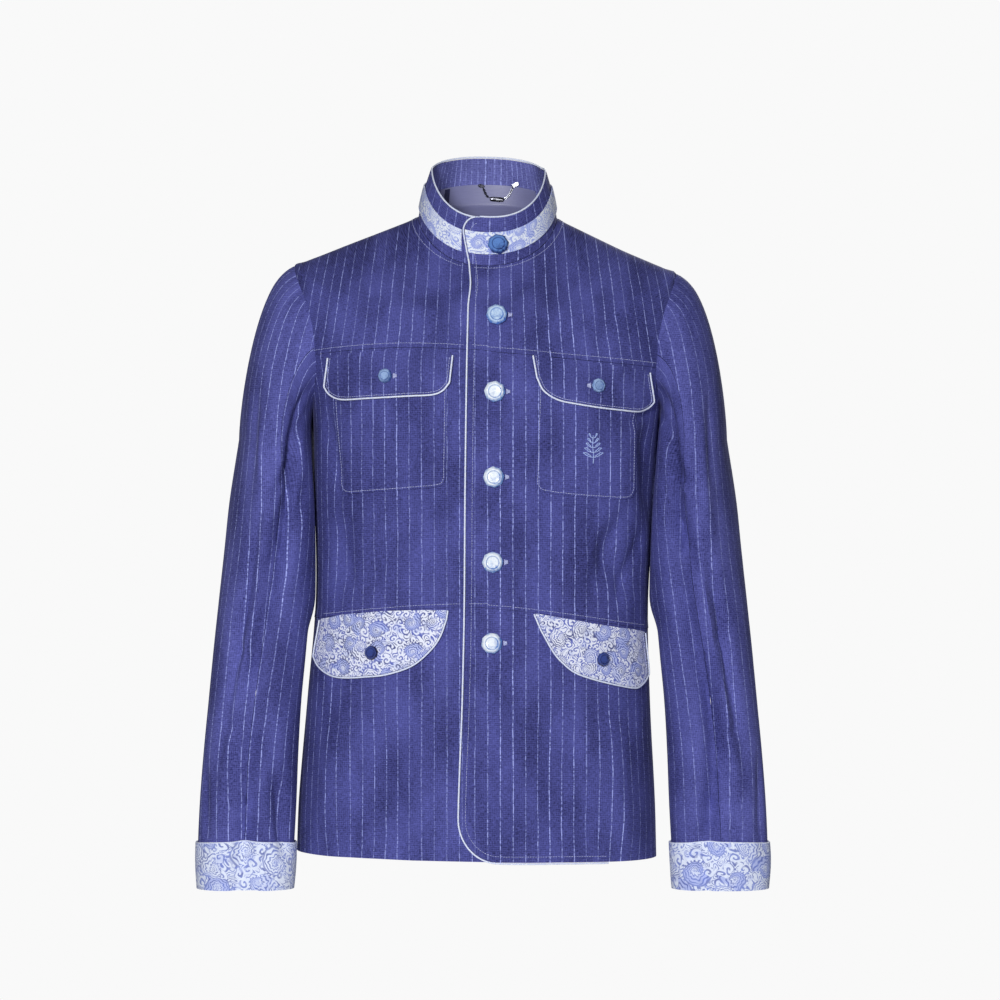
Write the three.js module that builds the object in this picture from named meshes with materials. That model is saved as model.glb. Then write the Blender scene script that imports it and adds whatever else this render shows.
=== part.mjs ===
// A safari jacket, hollow and filled out as it is worn, with its sleeves hanging.
// Millimetres. The front faces -Y, the wearer's left is +X, +Z is up, and the origin
// is on the middle of the body at the height of the shoulders' inner ends.
// Every piece of cloth is a thin closed wall laid through rings of named sizes.
import * as THREE from "three";

// Cloth thicknesses and the gaps between pieces.
const WALL = 2;
const PATCH_WALL = 1.2;
const LINING_WALL = 1.2;
const SEAM_GAP = 0.3;
const LAYER_GAP = 0.8;
const BUTTON_GAP = 0.4;
const PIPING_RADIUS = 1.1;
const LAP_LIFT = 2.8;
const LAP_FULL_X = 42;
const LAP_END_X = 84;

// Levels count millimetres up the body from the hem.
const HEM_LEVEL = 0;
const ARMPIT_LEVEL = 490;
const SHOULDER_LEVEL = 622;
const NECK_LEVEL = 760;
const HEM_HEIGHT = -703;
const ARMHOLE_FRONT = 64;
const ARMHOLE_BACK = 68;
const ARMHOLE_POWER = 2.3;
const NECKLINE_POWER = 1.4;
const TILT_REACH = 200;
const SLEEVE_CENTRE = -5.5;
const SLEEVE_TOP_DROP = 250;
const CUFF_DROP = 742;
const CUFF_HEIGHT = 52;
const CUFF_GAP = 0.8;

// Rings of the body, from the hem to the neck seam.
const BODY = readTable(
  ["level", "zFront", "zSide", "zBack", "half", "yFront", "yBack", "power", "centre", "tilt"],
  [
    [0, -703, -703, -703, 197.5, -115, 112, 2.3, -12.5, 3.5],
    [60, -643, -643, -643, 195.5, -116, 113, 2.35, -12, 3.5],
    [170, -533, -533, -533, 188, -119, 116, 2.4, -10, 3],
    [280, -423, -423, -423, 182.5, -121, 112, 2.4, -6.5, 3],
    [400, -303, -303, -303, 187.5, -127, 116, 2.4, -3.5, 3],
    [490, -213, -213, -213, 191.5, -125, 120, 2.4, -2, 3],
    [560, -160, -145, -154, 207, -118, 118, 2.4, -2, 4],
    [622, -118, -62, -88, 210, -107, 104, 2.3, -3, 4],
    [692, -92, -36, -40, 145, -98, 86, 2.3, -3, 4],
    [760, -65, -6, 14, 76, -86, 60, 2.2, -0.5, 2],
  ],
);

// The collar's top edge, and how high its strips and band reach as shares of its height.
const COLLAR_TOP = { zFront: -12, zSide: 46, zBack: 65, half: 63, yFront: -68, yBack: 62, power: 2.3 };
const COLLAR_BOW = 1.5;
const COLLAR_DEPTH = 52;
const COLLAR_COLUMNS = 42;
const BAND_FROM = 0.23;
const BAND_TO = 0.68;
const COLLAR_END = { xLow: -18, xHigh: -24.5, corner: 16, cornerFrom: 0.65 };
const UNDER_COLLAR_X = 18;

// The left front's edge, seen from the front, down to the round corner at the hem.
const FRONT_EDGE = readTable(
  ["drop", "x"],
  [
    [60, -19],
    [84, -17],
    [110, -19.5],
    [295, -22.4],
    [433, -23.5],
    [529, -25.6],
    [615, -28.8],
    [657, -30],
    [720, -30],
  ],
);
const UNDER_FRONT_X = 31;
const PIPING_END_X = 130;
const PIPING_HEIGHTS = [
  -74, -84, -94, -105, -120, -150, -190, -240, -290,
  -340, -390, -440, -490, -540, -590, -630, -655,
];
const HEM_CORNER = { top: -657, width: 42, height: 46 };

// Sections of a sleeve below its cap: half is half its width seen from the front.
const SLEEVE = readTable(
  ["drop", "out", "y", "half", "depth", "turn", "power"],
  [
    [250, 230, -8, 38.5, 72, 10, 2.2],
    [316, 231.5, -20, 46, 69, 13, 2.2],
    [371, 234, -28, 48.5, 64, 12, 2.2],
    [426, 238, -34, 50, 59, 9, 2.2],
    [481, 243, -39, 50.5, 54, 6, 2.2],
    [536, 248, -43, 50.5, 50, 3, 2.2],
    [591, 252, -46, 51.5, 46, 0, 2.2],
    [646, 255, -48, 52.5, 42, 0, 2.25],
    [700, 257.5, -48, 52, 38, 0, 2.3],
    [742, 258, -48, 50, 36, 0, 2.3],
  ],
);
// How the cap leaves the armhole and meets the first section: outward, forward and down.
const CAP_LEAVES = {
  topOut: 112,
  topDown: 34,
  sideOut: 60,
  sideForward: 16,
  sideDown: 40,
  lowOut: 18,
  lowDown: 20,
};
const CAP_LANDS = { top: 200, side: 110, low: 36 };
const BODY_CLEARANCE = 1.2;
const CONTACT_SOFTNESS = 3;

// The largest folds: each runs from one end to the other, with its width and its depth.
const BODY_FOLDS = readTable(
  ["back", "x1", "z1", "x2", "z2", "width", "depth"],
  [
    [0, 172, -235, 176, -330, 9, -4],
    [0, 118, -352, 150, -412, 15, -3.5],
    [0, -160, -342, -150, -412, 14, -3],
    [0, 60, -570, 76, -690, 22, -3],
    [0, 128, -568, 150, -690, 20, 4],
    [0, -110, -560, -118, -690, 22, -3],
    [0, -160, -562, -172, -690, 18, 3.5],
    [1, -140, -215, -158, -330, 16, -4.5],
    [1, 140, -215, 156, -330, 16, -4.5],
    [1, -60, -400, -40, -470, 20, -3],
    [1, 62, -395, 40, -470, 20, -3],
    [1, -90, -540, -104, -695, 24, -4],
    [1, 88, -540, 100, -695, 24, -4],
  ],
);
const SLEEVE_FOLDS = readTable(
  ["side", "angle1", "drop1", "angle2", "drop2", "width", "depth"],
  [
    [-1, 118, 215, 78, 420, 11, -6],
    [-1, 96, 400, 70, 560, 10, -4],
    [-1, 60, 250, 74, 400, 12, 4],
    [-1, 84, 775, 96, 640, 11, -3],
    [-1, 128, 620, 140, 690, 11, -4],
    [1, 120, 215, 80, 400, 11, -6],
    [1, 108, 380, 84, 610, 10, -5],
    [1, 62, 260, 76, 420, 12, 4],
    [1, 92, 600, 110, 690, 11, -4],
    [-1, 235, 225, 275, 420, 12, -5],
    [1, 232, 225, 272, 420, 12, -5],
    [-1, 268, 440, 292, 600, 12, -4],
    [1, 270, 450, 290, 620, 12, -4],
  ],
);
const FOLD_ENDS = 0.3;

// Pocket and flap outlines: sections from the top edge to the low edge, along the piece.
const SECTION_COLUMNS = ["xTop", "zTop", "xLow", "zLow"];
const CHEST_POCKET_RIGHT = readTable(SECTION_COLUMNS, [
  [-165, -194, -159.5, -300],
  [-161, -193, -156, -306],
  [-153, -192, -148, -309],
  [-128, -191, -125, -307.5],
  [-104, -190, -101, -306],
  [-78, -190, -77, -304],
  [-55, -190, -54.5, -302],
  [-47, -190, -47.5, -299],
  [-43, -190, -44.5, -292],
]);
const CHEST_POCKET_LEFT = readTable(SECTION_COLUMNS, [
  [54, -192, 50.5, -299],
  [58, -193, 54.5, -305],
  [63, -194, 60, -307.5],
  [86, -196, 84, -311],
  [110, -199, 108, -313],
  [132, -201, 131, -314.5],
  [147, -203, 146, -315],
  [155, -204, 154, -312.5],
  [160, -205, 158, -305],
]);
const CHEST_FLAP_RIGHT = readTable(SECTION_COLUMNS, [
  [-168.6, -161.5, -171.5, -193],
  [-161, -160.5, -166, -201],
  [-148, -159, -154, -206.5],
  [-126, -157.5, -129, -206],
  [-104, -156.5, -104, -205],
  [-80, -156.5, -81, -204],
  [-58, -158, -59, -203],
  [-47, -160, -48.5, -199],
  [-38.4, -161, -41.6, -191],
]);
const CHEST_FLAP_LEFT = readTable(SECTION_COLUMNS, [
  [49, -162, 53, -186],
  [58, -163, 60, -199.5],
  [72, -165, 75, -208.5],
  [94, -167, 95, -212.5],
  [117, -169.5, 117, -215.8],
  [138, -172, 139, -218],
  [155, -174, 159, -219.3],
  [164, -175.5, 169, -216],
  [171, -177, 174.5, -209],
]);
const HIP_FLAP_RIGHT = readTable(SECTION_COLUMNS, [
  [-180, -445, -185.5, -486],
  [-176, -444.2, -180.5, -495],
  [-170, -443, -171.5, -502],
  [-160, -440.5, -161, -505.5],
  [-147, -438.5, -147, -505.8],
  [-132, -437, -132, -504.5],
  [-112, -435, -108, -501.5],
  [-88, -434, -81, -492],
  [-68, -433.5, -62, -476],
  [-54, -433.5, -51.5, -461],
  [-43.7, -433.5, -45, -443],
]);
const HIP_FLAP_LEFT = readTable(SECTION_COLUMNS, [
  [50, -436.5, 57, -454],
  [62, -439, 70, -477],
  [78, -442, 80, -489],
  [98, -445.5, 93, -499.5],
  [116, -449, 111, -506.5],
  [130, -451.5, 128, -511.5],
  [142, -453.5, 144, -515.5],
  [152, -455, 158, -518],
  [161, -457, 166, -513],
  [168.5, -459, 171, -505],
]);

// Shank buttons on the left front, the collar and the flaps.
const FRONT_BUTTONS = readTable(
  ["x", "z"],
  [
    [9.6, -119.5],
    [7.5, -200.8],
    [6.4, -291.5],
    [5.3, -382],
    [4.3, -468.6],
  ],
);
const COLLAR_BUTTON = { x: 10.8, rise: 0.42 };
const BUTTON_RADIUS = 11.5;
const BUTTON_DEPTH = 4.4;
const SMALL_BUTTON_RADIUS = 8;
const SMALL_BUTTON_DEPTH = 3.6;
const BUTTON_SIDES = 8;

// The chain at the back neck, seen from the front.
const CHAIN_LEFT_END = { x: -7.8, z: 34 };
const CHAIN_RIGHT_END = { x: 32.5, z: 35 };
const CHAIN_PLATE = { xFrom: 2.2, xTo: 17.8, z: 19.6, height: 4.4, depth: 1.2 };
const CHAIN_RADIUS = 1;

const COLOURS = {
  cloth: 0x4b4e8a,
  paisley: 0xa9afd4,
  piping: 0xdfe3fa,
  lining: 0x737495,
  pearl: 0xcfdcf0,
  blueButton: 0x6d92cf,
  navyButton: 0x252c62,
  blackMetal: 0x17181c,
  brightMetal: 0xe4e6ea,
};

function readTable(columns, rows) {
  return rows.map((row) => Object.fromEntries(columns.map((name, index) => [name, row[index]])));
}

// All columns of a table between two of its rows, on smooth curves through the rows.
function rowAt(rows, at) {
  const key = Object.keys(rows[0])[0];
  let index = 0;
  while (index < rows.length - 2 && at > rows[index + 1][key]) index += 1;
  const from = rows[index];
  const to = rows[index + 1];
  const before = rows[Math.max(index - 1, 0)];
  const after = rows[Math.min(index + 2, rows.length - 1)];
  const span = to[key] - from[key];
  const share = (at - from[key]) / span;
  const square = share * share;
  const cube = square * share;
  const read = {};
  for (const name of Object.keys(from)) {
    const leaving = ((to[name] - before[name]) / (to[key] - before[key])) * span;
    const arriving = ((after[name] - from[name]) / (after[key] - from[key])) * span;
    read[name] =
      (2 * cube - 3 * square + 1) * from[name] +
      (cube - 2 * square + share) * leaving +
      (3 * square - 2 * cube) * to[name] +
      (cube - square) * arriving;
  }
  return read;
}

function smoothStep(from, to, value) {
  const share = THREE.MathUtils.clamp((value - from) / (to - from), 0, 1);
  return share * share * (3 - 2 * share);
}

function signedPower(value, power) {
  return Math.sign(value) * Math.abs(value) ** power;
}

// A point of a ring: angle 0 is the wearer's left side, and -90 degrees is the centre front.
function ringPoint(ring, angle) {
  const bend = 2 / ring.power;
  const along = Math.sin(angle);
  const reach = Math.abs(along) ** bend;
  const x = (ring.centre ?? 0) + ring.half * signedPower(Math.cos(angle), bend);
  const y = reach * (along < 0 ? ring.yFront : ring.yBack);
  const zEnd = along < 0 ? ring.zFront : ring.zBack;
  const slope = ((ring.tilt ?? 0) * x) / TILT_REACH;
  return new THREE.Vector3(x, y, ring.zSide + (zEnd - ring.zSide) * reach ** NECKLINE_POWER - slope);
}

function bodyPoint(angle, level) {
  return ringPoint(rowAt(BODY, level), angle);
}

// The outward normal of a surface(u, v) whose u runs anticlockwise seen from above and v up.
function normalOf(surface, u, v, uStep, vStep) {
  const across = surface(u + uStep, v).sub(surface(u - uStep, v));
  const up = surface(u, v + vStep).sub(surface(u, v - vStep));
  return across.cross(up).normalize();
}

// Near the neck seam the body and the collar share one normal, so that their edges meet.
function neckNormal(angle) {
  const below = normalOf(bodyPoint, angle, NECK_LEVEL - 4, 0.02, 3);
  const above = normalOf(collarBase, angle, 0.05, 0.02, 0.04);
  return below.add(above).normalize();
}

function bodyNormal(angle, level) {
  const normal = normalOf(bodyPoint, angle, level, 0.02, 2);
  const near = smoothStep(NECK_LEVEL - 26, NECK_LEVEL, level);
  return near > 0 ? normal.lerp(neckNormal(angle), near).normalize() : normal;
}

// How far the folds of a table move a point that is at u, v on the cloth.
function foldHeight(folds, u, v, ends) {
  let height = 0;
  for (const fold of folds) {
    const [u1, v1, u2, v2] = ends(fold);
    const length = Math.hypot(u2 - u1, v2 - v1);
    const along = ((u - u1) * (u2 - u1) + (v - v1) * (v2 - v1)) / (length * length);
    const aside = ((u - u1) * (v2 - v1) - (v - v1) * (u2 - u1)) / length;
    const fade = smoothStep(-FOLD_ENDS, FOLD_ENDS, along) * smoothStep(-FOLD_ENDS, FOLD_ENDS, 1 - along);
    height += fold.depth * fade * Math.exp(-((aside / fold.width) ** 2));
  }
  return height;
}

function bodyFoldHeight(point) {
  const back = point.y > 0 ? 1 : 0;
  const folds = BODY_FOLDS.filter((fold) => fold.back === back);
  const calm = smoothStep(10, 40, Math.abs(point.y));
  return calm * foldHeight(folds, point.x, point.z, (fold) => [fold.x1, fold.z1, fold.x2, fold.z2]);
}

function lapLift(x) {
  return LAP_LIFT * smoothStep(-LAP_END_X, -LAP_FULL_X, -x);
}

function clothPoint(angle, level, lift) {
  const base = bodyPoint(angle, level);
  return base.addScaledVector(bodyNormal(angle, level), lift + bodyFoldHeight(base));
}

// The angle on a ring where the front, or the back, is at x.
function frontAngle(level, x) {
  const ring = rowAt(BODY, level);
  const across = THREE.MathUtils.clamp((x - ring.centre) / ring.half, -1, 1);
  return -Math.acos(signedPower(across, ring.power / 2));
}

// The angle on a ring where the side, +1 for the wearer's left, is at y.
function sideAngle(level, y, side) {
  const ring = rowAt(BODY, level);
  const reach = Math.abs(y / (y < 0 ? ring.yFront : ring.yBack));
  const fromSide = Math.sign(y) * Math.asin(Math.min(reach, 1) ** (ring.power / 2));
  return side > 0 ? fromSide : Math.sign(y) * Math.PI - fromSide;
}

// How far an armhole's edge lies from the side line at a level, in front or behind.
function armholeY(level, facing) {
  const middle = (ARMPIT_LEVEL + SHOULDER_LEVEL) / 2;
  const off = Math.abs(level - middle) / ((SHOULDER_LEVEL - ARMPIT_LEVEL) / 2);
  const width = facing < 0 ? ARMHOLE_FRONT : ARMHOLE_BACK;
  const open = off < 1 ? width * (1 - off ** ARMHOLE_POWER) ** (1 / ARMHOLE_POWER) : 0;
  return facing * Math.max(open, SEAM_GAP / 2);
}

function frontEdgeX(z) {
  const below = THREE.MathUtils.clamp((HEM_CORNER.top - z) / HEM_CORNER.height, 0, 1);
  return rowAt(FRONT_EDGE, -z).x + HEM_CORNER.width * (1 - Math.sqrt(1 - below * below));
}

function waistHeight(x) {
  return x < 0 ? -430 - 14 * (x / 185) ** 2 : -431.5 - 24 * (x / 170) ** 1.3;
}

function yokeHeight(x) {
  return x < 0 ? -157 + 5 * Math.sin((Math.PI * Math.min(-x, 190)) / 190) - 0.01 * -x : -158 - 0.08 * x;
}

// A closed wall between two grids of points, with its faces turned outwards.
function wallGeometry(outer, inner, isTube = false) {
  const rows = outer.length;
  const columns = outer[0].length;
  const positions = [...outer.flat(), ...inner.flat()].flatMap((point) => point.toArray());
  const at = (row, column, side) => side * rows * columns + row * columns + (column % columns);
  const faces = [];
  const quad = (a, b, c, d) => faces.push(a, b, c, a, c, d);
  const spans = isTube ? columns : columns - 1;
  for (let row = 0; row < rows - 1; row += 1) {
    for (let column = 0; column < spans; column += 1) {
      const next = (column + 1) % columns;
      const rising = outer[row][column].distanceTo(outer[row + 1][next]);
      const falling = outer[row][next].distanceTo(outer[row + 1][column]);
      const corners = [at(row, column, 0), at(row, next, 0), at(row + 1, next, 0), at(row + 1, column, 0)];
      if (falling < rising) corners.push(corners.shift());
      const [a, b, c, d] = corners;
      const under = rows * columns;
      quad(a, b, c, d);
      quad(c + under, b + under, a + under, d + under);
    }
  }
  const top = rows - 1;
  for (let column = 0; column < spans; column += 1) {
    quad(at(0, column + 1, 0), at(0, column, 0), at(0, column, 1), at(0, column + 1, 1));
    quad(at(top, column, 0), at(top, column + 1, 0), at(top, column + 1, 1), at(top, column, 1));
  }
  const end = columns - 1;
  for (let row = 0; row < top && !isTube; row += 1) {
    quad(at(row, 0, 0), at(row + 1, 0, 0), at(row + 1, 0, 1), at(row, 0, 1));
    quad(at(row + 1, end, 0), at(row, end, 0), at(row, end, 1), at(row + 1, end, 1));
  }
  const geometry = new THREE.BufferGeometry();
  geometry.setAttribute("position", new THREE.Float32BufferAttribute(positions, 3));
  geometry.setIndex(faces);
  return facedOut(geometry);
}

function facedOut(geometry) {
  const corners = [new THREE.Vector3(), new THREE.Vector3(), new THREE.Vector3()];
  const position = geometry.getAttribute("position");
  const index = geometry.getIndex();
  let volume = 0;
  for (let face = 0; face < index.count; face += 3) {
    corners.forEach((corner, place) => corner.fromBufferAttribute(position, index.getX(face + place)));
    volume += corners[0].dot(corners[1].clone().cross(corners[2]));
  }
  if (volume < 0) index.array.reverse();
  geometry.computeVertexNormals();
  return geometry;
}

// A round cord along points, of a few sides, closed at both ends.
function cordGeometry(points, radius, sides = 5) {
  const rings = points.map((point, index) => {
    const ahead = points[Math.min(index + 1, points.length - 1)].point;
    const behind = points[Math.max(index - 1, 0)].point;
    const along = ahead.clone().sub(behind).normalize();
    const aside = along.clone().cross(point.normal).normalize();
    const out = aside.clone().cross(along).normalize();
    return Array.from({ length: sides }, (_, side) => {
      const angle = (2 * Math.PI * (side + 0.5)) / sides;
      return point.point
        .clone()
        .addScaledVector(out, radius * Math.cos(angle))
        .addScaledVector(aside, radius * Math.sin(angle));
    });
  });
  const faces = [];
  const at = (ring, side) => ring * sides + (side % sides);
  for (let ring = 0; ring < rings.length - 1; ring += 1) {
    for (let side = 0; side < sides; side += 1) {
      faces.push(at(ring, side), at(ring, side + 1), at(ring + 1, side + 1));
      faces.push(at(ring, side), at(ring + 1, side + 1), at(ring + 1, side));
    }
  }
  for (let side = 1; side < sides - 1; side += 1) {
    faces.push(at(0, 0), at(0, side + 1), at(0, side));
    faces.push(at(rings.length - 1, 0), at(rings.length - 1, side), at(rings.length - 1, side + 1));
  }
  const geometry = new THREE.BufferGeometry();
  const positions = rings.flat().flatMap((point) => point.toArray());
  geometry.setAttribute("position", new THREE.Float32BufferAttribute(positions, 3));
  geometry.setIndex(faces);
  return facedOut(geometry);
}

function named(name, geometry, colour, roughness = 0.85, metalness = 0) {
  const material = new THREE.MeshStandardMaterial({ color: colour, roughness, metalness });
  const mesh = new THREE.Mesh(geometry, material);
  mesh.name = name;
  return mesh;
}

function evenly(count, from = 0, to = 1) {
  return Array.from({ length: count + 1 }, (_, index) => from + ((to - from) * index) / count);
}

// The level at which the line angleAt(level) reaches the height of a seam.
function seamLevel(angleAt, heightAt, shift) {
  let low = HEM_LEVEL - 6;
  let high = NECK_LEVEL;
  for (let step = 0; step < 32; step += 1) {
    const level = (low + high) / 2;
    const point = bodyPoint(angleAt(level), level);
    if (point.z < heightAt(point.x) + shift) low = level;
    else high = level;
  }
  return (low + high) / 2;
}

// A panel of the body: columns run between two angle lines and rows between two seams.
function bodyPanel({ from, to, shares, levels, lowSeam, highSeam, sideShare, lift = () => 0 }) {
  const first = levels[0];
  const last = levels[levels.length - 1];
  const angleAt = (share) => (level) => from(level) + (to(level) - from(level)) * share;
  const nominalLow = lowSeam ? seamLevel(angleAt(sideShare), lowSeam, SEAM_GAP / 2) : first;
  const nominalHigh = highSeam ? seamLevel(angleAt(sideShare), highSeam, -SEAM_GAP / 2) : last;
  const inside = levels.filter((level) => level > nominalLow + 3 && level < nominalHigh - 3);
  const rows = [nominalLow, ...inside, nominalHigh];
  const ends = shares.map((share) => ({
    low: lowSeam ? seamLevel(angleAt(share), lowSeam, SEAM_GAP / 2) : first,
    high: highSeam ? seamLevel(angleAt(share), highSeam, -SEAM_GAP / 2) : last,
  }));
  const grid = (depth) =>
    rows.map((row) =>
      shares.map((share, column) => {
        const way = (row - nominalLow) / (nominalHigh - nominalLow);
        const level = ends[column].low + (ends[column].high - ends[column].low) * way;
        const angle = angleAt(share)(level);
        return clothPoint(angle, level, lift(bodyPoint(angle, level).x) - depth);
      }),
    );
  return wallGeometry(grid(0), grid(WALL));
}

const SKIRT_LEVELS = [0, 4, 11, 21, 33, 46, 75, 108, 140, 172, 204, 236, 280];
const CHEST_LEVELS = [262, 294, 320, 346, 372, 398, 424, 448, 470, 490, 494, 504, 520, 545, 560];
const YOKE_LEVELS = [560, 580, 600, 615, 622, 646, 670, 694, 716, 738, NECK_LEVEL - SEAM_GAP / 2];
const BACK_LEVELS = [
  ...[0, 36, 72, 108, 144, 180, 216, 252, 288, 324, 360, 396, 432, 464, 490, 494, 506, 528],
  ...[556, 584, 606, 618, 622, 645, 672, 700, 728, NECK_LEVEL - SEAM_GAP / 2],
];
// Columns of a front, closer together towards its side and its front edge.
const FRONT_SHARES = evenly(14).map((share) => share - 0.05 * Math.sin(2 * Math.PI * share));

function frontPanels() {
  const rightSide = (level) => sideAngle(level, armholeY(level, -1), -1);
  const leftSide = (level) => sideAngle(level, armholeY(level, -1), 1);
  const heightAt = (level) => bodyPoint(-Math.PI / 2, level).z;
  const underEdge = (level) => frontAngle(level, UNDER_FRONT_X);
  const overEdge = (level) => frontAngle(level, frontEdgeX(heightAt(level)));
  const right = { from: rightSide, to: underEdge, shares: FRONT_SHARES, sideShare: 0 };
  const left = { from: overEdge, to: leftSide, shares: FRONT_SHARES, sideShare: 1, lift: lapLift };
  const cuts = [
    ["skirt", { levels: SKIRT_LEVELS, highSeam: waistHeight }],
    ["chest", { levels: CHEST_LEVELS, lowSeam: waistHeight, highSeam: yokeHeight }],
    ["yoke", { levels: YOKE_LEVELS, lowSeam: yokeHeight }],
  ];
  return cuts.flatMap(([cut, seams]) => [
    named(`front_${cut}_right`, bodyPanel({ ...right, ...seams }), COLOURS.cloth),
    named(`front_${cut}_left`, bodyPanel({ ...left, ...seams }), COLOURS.cloth),
  ]);
}

function backPanel() {
  const from = (level) => sideAngle(level, armholeY(level, 1), 1);
  const to = (level) => sideAngle(level, armholeY(level, 1), -1);
  const panel = { from, to, shares: evenly(22), levels: BACK_LEVELS, sideShare: 0 };
  return named("back", bodyPanel(panel), COLOURS.cloth);
}

// Sleeves. The angle is 0 outside, 90 degrees in front, 180 under the arm and 270 behind.
function armholePoint(angle, side) {
  const bend = 2 / ARMHOLE_POWER;
  const middle = (ARMPIT_LEVEL + SHOULDER_LEVEL) / 2;
  const level = middle + ((SHOULDER_LEVEL - ARMPIT_LEVEL) / 2) * signedPower(Math.cos(angle), bend);
  const ahead = signedPower(Math.sin(angle), bend);
  const y = -ahead * (ahead > 0 ? ARMHOLE_FRONT : ARMHOLE_BACK);
  const safeY = Math.abs(y) < 0.01 ? -0.01 : y;
  return bodyPoint(sideAngle(level, safeY, side), level);
}

function sleeveSection(angle, drop, side) {
  const ring = rowAt(SLEEVE, drop);
  const turn = THREE.MathUtils.degToRad(ring.turn);
  const bend = 2 / ring.power;
  const flank = Math.sqrt(ring.half ** 2 - (ring.depth * Math.sin(turn)) ** 2) / Math.cos(turn);
  const out = flank * signedPower(Math.cos(angle), bend);
  const ahead = ring.depth * signedPower(Math.sin(angle), bend);
  const x = ring.out + out * Math.cos(turn) - ahead * Math.sin(turn);
  const y = ring.y - ahead * Math.cos(turn) - out * Math.sin(turn);
  return new THREE.Vector3(SLEEVE_CENTRE + side * x, y, -drop);
}

// The sleeve hangs beside the body: what would enter it is pushed out along x.
function clearOfBody(point, side) {
  const level = THREE.MathUtils.clamp(point.z - HEM_HEIGHT, HEM_LEVEL, ARMPIT_LEVEL);
  const ring = rowAt(BODY, level);
  const reach = Math.min(Math.abs(point.y / (point.y < 0 ? ring.yFront : ring.yBack)), 1);
  const limit = ring.half * (1 - reach ** ring.power) ** (1 / ring.power) + BODY_CLEARANCE;
  const out = side * (point.x - ring.centre);
  const pushed = limit + CONTACT_SOFTNESS * Math.log1p(Math.exp((out - limit) / CONTACT_SOFTNESS));
  const below = smoothStep(0, 22, HEM_HEIGHT + ARMPIT_LEVEL - point.z);
  const near = smoothStep(90, 40, out - limit);
  point.x += side * (pushed - out) * below * near;
  return point;
}

// Down the sleeve: 0 to 1 is the cap, and then each unit is a millimetre of drop.
function sleeveBase(angle, down, side) {
  if (down >= 1) return clearOfBody(sleeveSection(angle, SLEEVE_TOP_DROP + down - 1, side), side);
  const share = Math.max(down, 0);
  const from = armholePoint(angle, side);
  const to = sleeveSection(angle, SLEEVE_TOP_DROP, side);
  const top = ((1 + Math.cos(angle)) / 2) ** 2;
  const low = ((1 - Math.cos(angle)) / 2) ** 2;
  const flank = 1 - top - low;
  const out = top * CAP_LEAVES.topOut + flank * CAP_LEAVES.sideOut + low * CAP_LEAVES.lowOut;
  const fall = top * CAP_LEAVES.topDown + flank * CAP_LEAVES.sideDown + low * CAP_LEAVES.lowDown;
  const ahead = flank * CAP_LEAVES.sideForward * Math.sign(Math.sin(angle));
  const leaving = new THREE.Vector3(side * out, -ahead, -fall);
  const landing = top * CAP_LANDS.top + flank * CAP_LANDS.side + low * CAP_LANDS.low;
  const arriving = new THREE.Vector3(side * landing * 0.02, -landing * 0.12, -landing);
  const square = share * share;
  const cube = square * share;
  const point = from
    .multiplyScalar(2 * cube - 3 * square + 1)
    .addScaledVector(leaving, cube - 2 * square + share)
    .addScaledVector(to, 3 * square - 2 * cube)
    .addScaledVector(arriving, cube - square);
  return clearOfBody(point, side);
}

function sleeveFoldHeight(angle, point, side) {
  const folds = SLEEVE_FOLDS.filter((fold) => fold.side === side);
  const degrees = THREE.MathUtils.radToDeg(angle);
  const wrapped = ((degrees % 360) + 360) % 360;
  const ends = (fold) => [fold.angle1, fold.drop1, fold.angle2, fold.drop2];
  return foldHeight(folds, wrapped, -point.z, ends) * smoothStep(150, 230, -point.z);
}

function sleevePoint(angle, down, side, lift) {
  const surface = (u, v) => sleeveBase(u, v, side);
  const vStep = down < 1.5 ? 0.02 : 2;
  const base = sleeveBase(angle, down, side);
  const normal = normalOf(surface, angle, Math.max(down, vStep), 0.03, vStep).multiplyScalar(side);
  return base.addScaledVector(normal, lift + sleeveFoldHeight(angle, base, side));
}

const SLEEVE_END_DOWN = 1 + CUFF_DROP - SLEEVE_TOP_DROP;
const CAP_ROWS = [0.009, 0.06, 0.14, 0.24, 0.36, 0.5, 0.66, 0.83];
const SLEEVE_ROWS = [...CAP_ROWS, ...evenly(17, 1, SLEEVE_END_DOWN - 2)];

function sleeveHalf(side, fromAngle, toAngle) {
  const gap = SEAM_GAP / 2 / 60;
  const angles = evenly(9, fromAngle + gap, toAngle - gap);
  const grid = (depth) =>
    SLEEVE_ROWS.map((down) => angles.map((angle) => sleevePoint(angle, down, side, -depth)));
  return wallGeometry(grid(0), grid(WALL));
}

function cuff(side) {
  const angles = evenly(18, -Math.PI / 2, 1.5 * Math.PI).slice(0, -1);
  const dip = (angle) => 3 * Math.abs(Math.cos(angle)) ** 2;
  const rows = [0, 0.5, 1];
  const grid = (lift) =>
    rows.map((row) =>
      angles.map((angle) => {
        const top = SLEEVE_END_DOWN - CUFF_HEIGHT + dip(angle);
        return sleevePoint(angle, top + (SLEEVE_END_DOWN - top) * row, side, lift);
      }),
    );
  return wallGeometry(grid(CUFF_GAP + WALL), grid(CUFF_GAP), true);
}

function sleeves() {
  return [
    ["right", -1],
    ["left", 1],
  ].flatMap(([name, side]) => [
    named(`sleeve_top_${name}`, sleeveHalf(side, -Math.PI / 2, Math.PI / 2), COLOURS.cloth),
    named(`sleeve_under_${name}`, sleeveHalf(side, Math.PI / 2, 1.5 * Math.PI), COLOURS.cloth),
    named(`cuff_${name}`, cuff(side), COLOURS.paisley),
  ]);
}

// The standing collar, from the neck seam up to its top edge.
function collarBase(angle, rise) {
  const low = bodyPoint(angle, NECK_LEVEL);
  const high = ringPoint(COLLAR_TOP, angle);
  const bow = new THREE.Vector3(Math.cos(angle), Math.sin(angle), 0).multiplyScalar(COLLAR_BOW);
  return low.lerp(high, rise).addScaledVector(bow, Math.sin(Math.PI * THREE.MathUtils.clamp(rise, 0, 1)));
}

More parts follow.
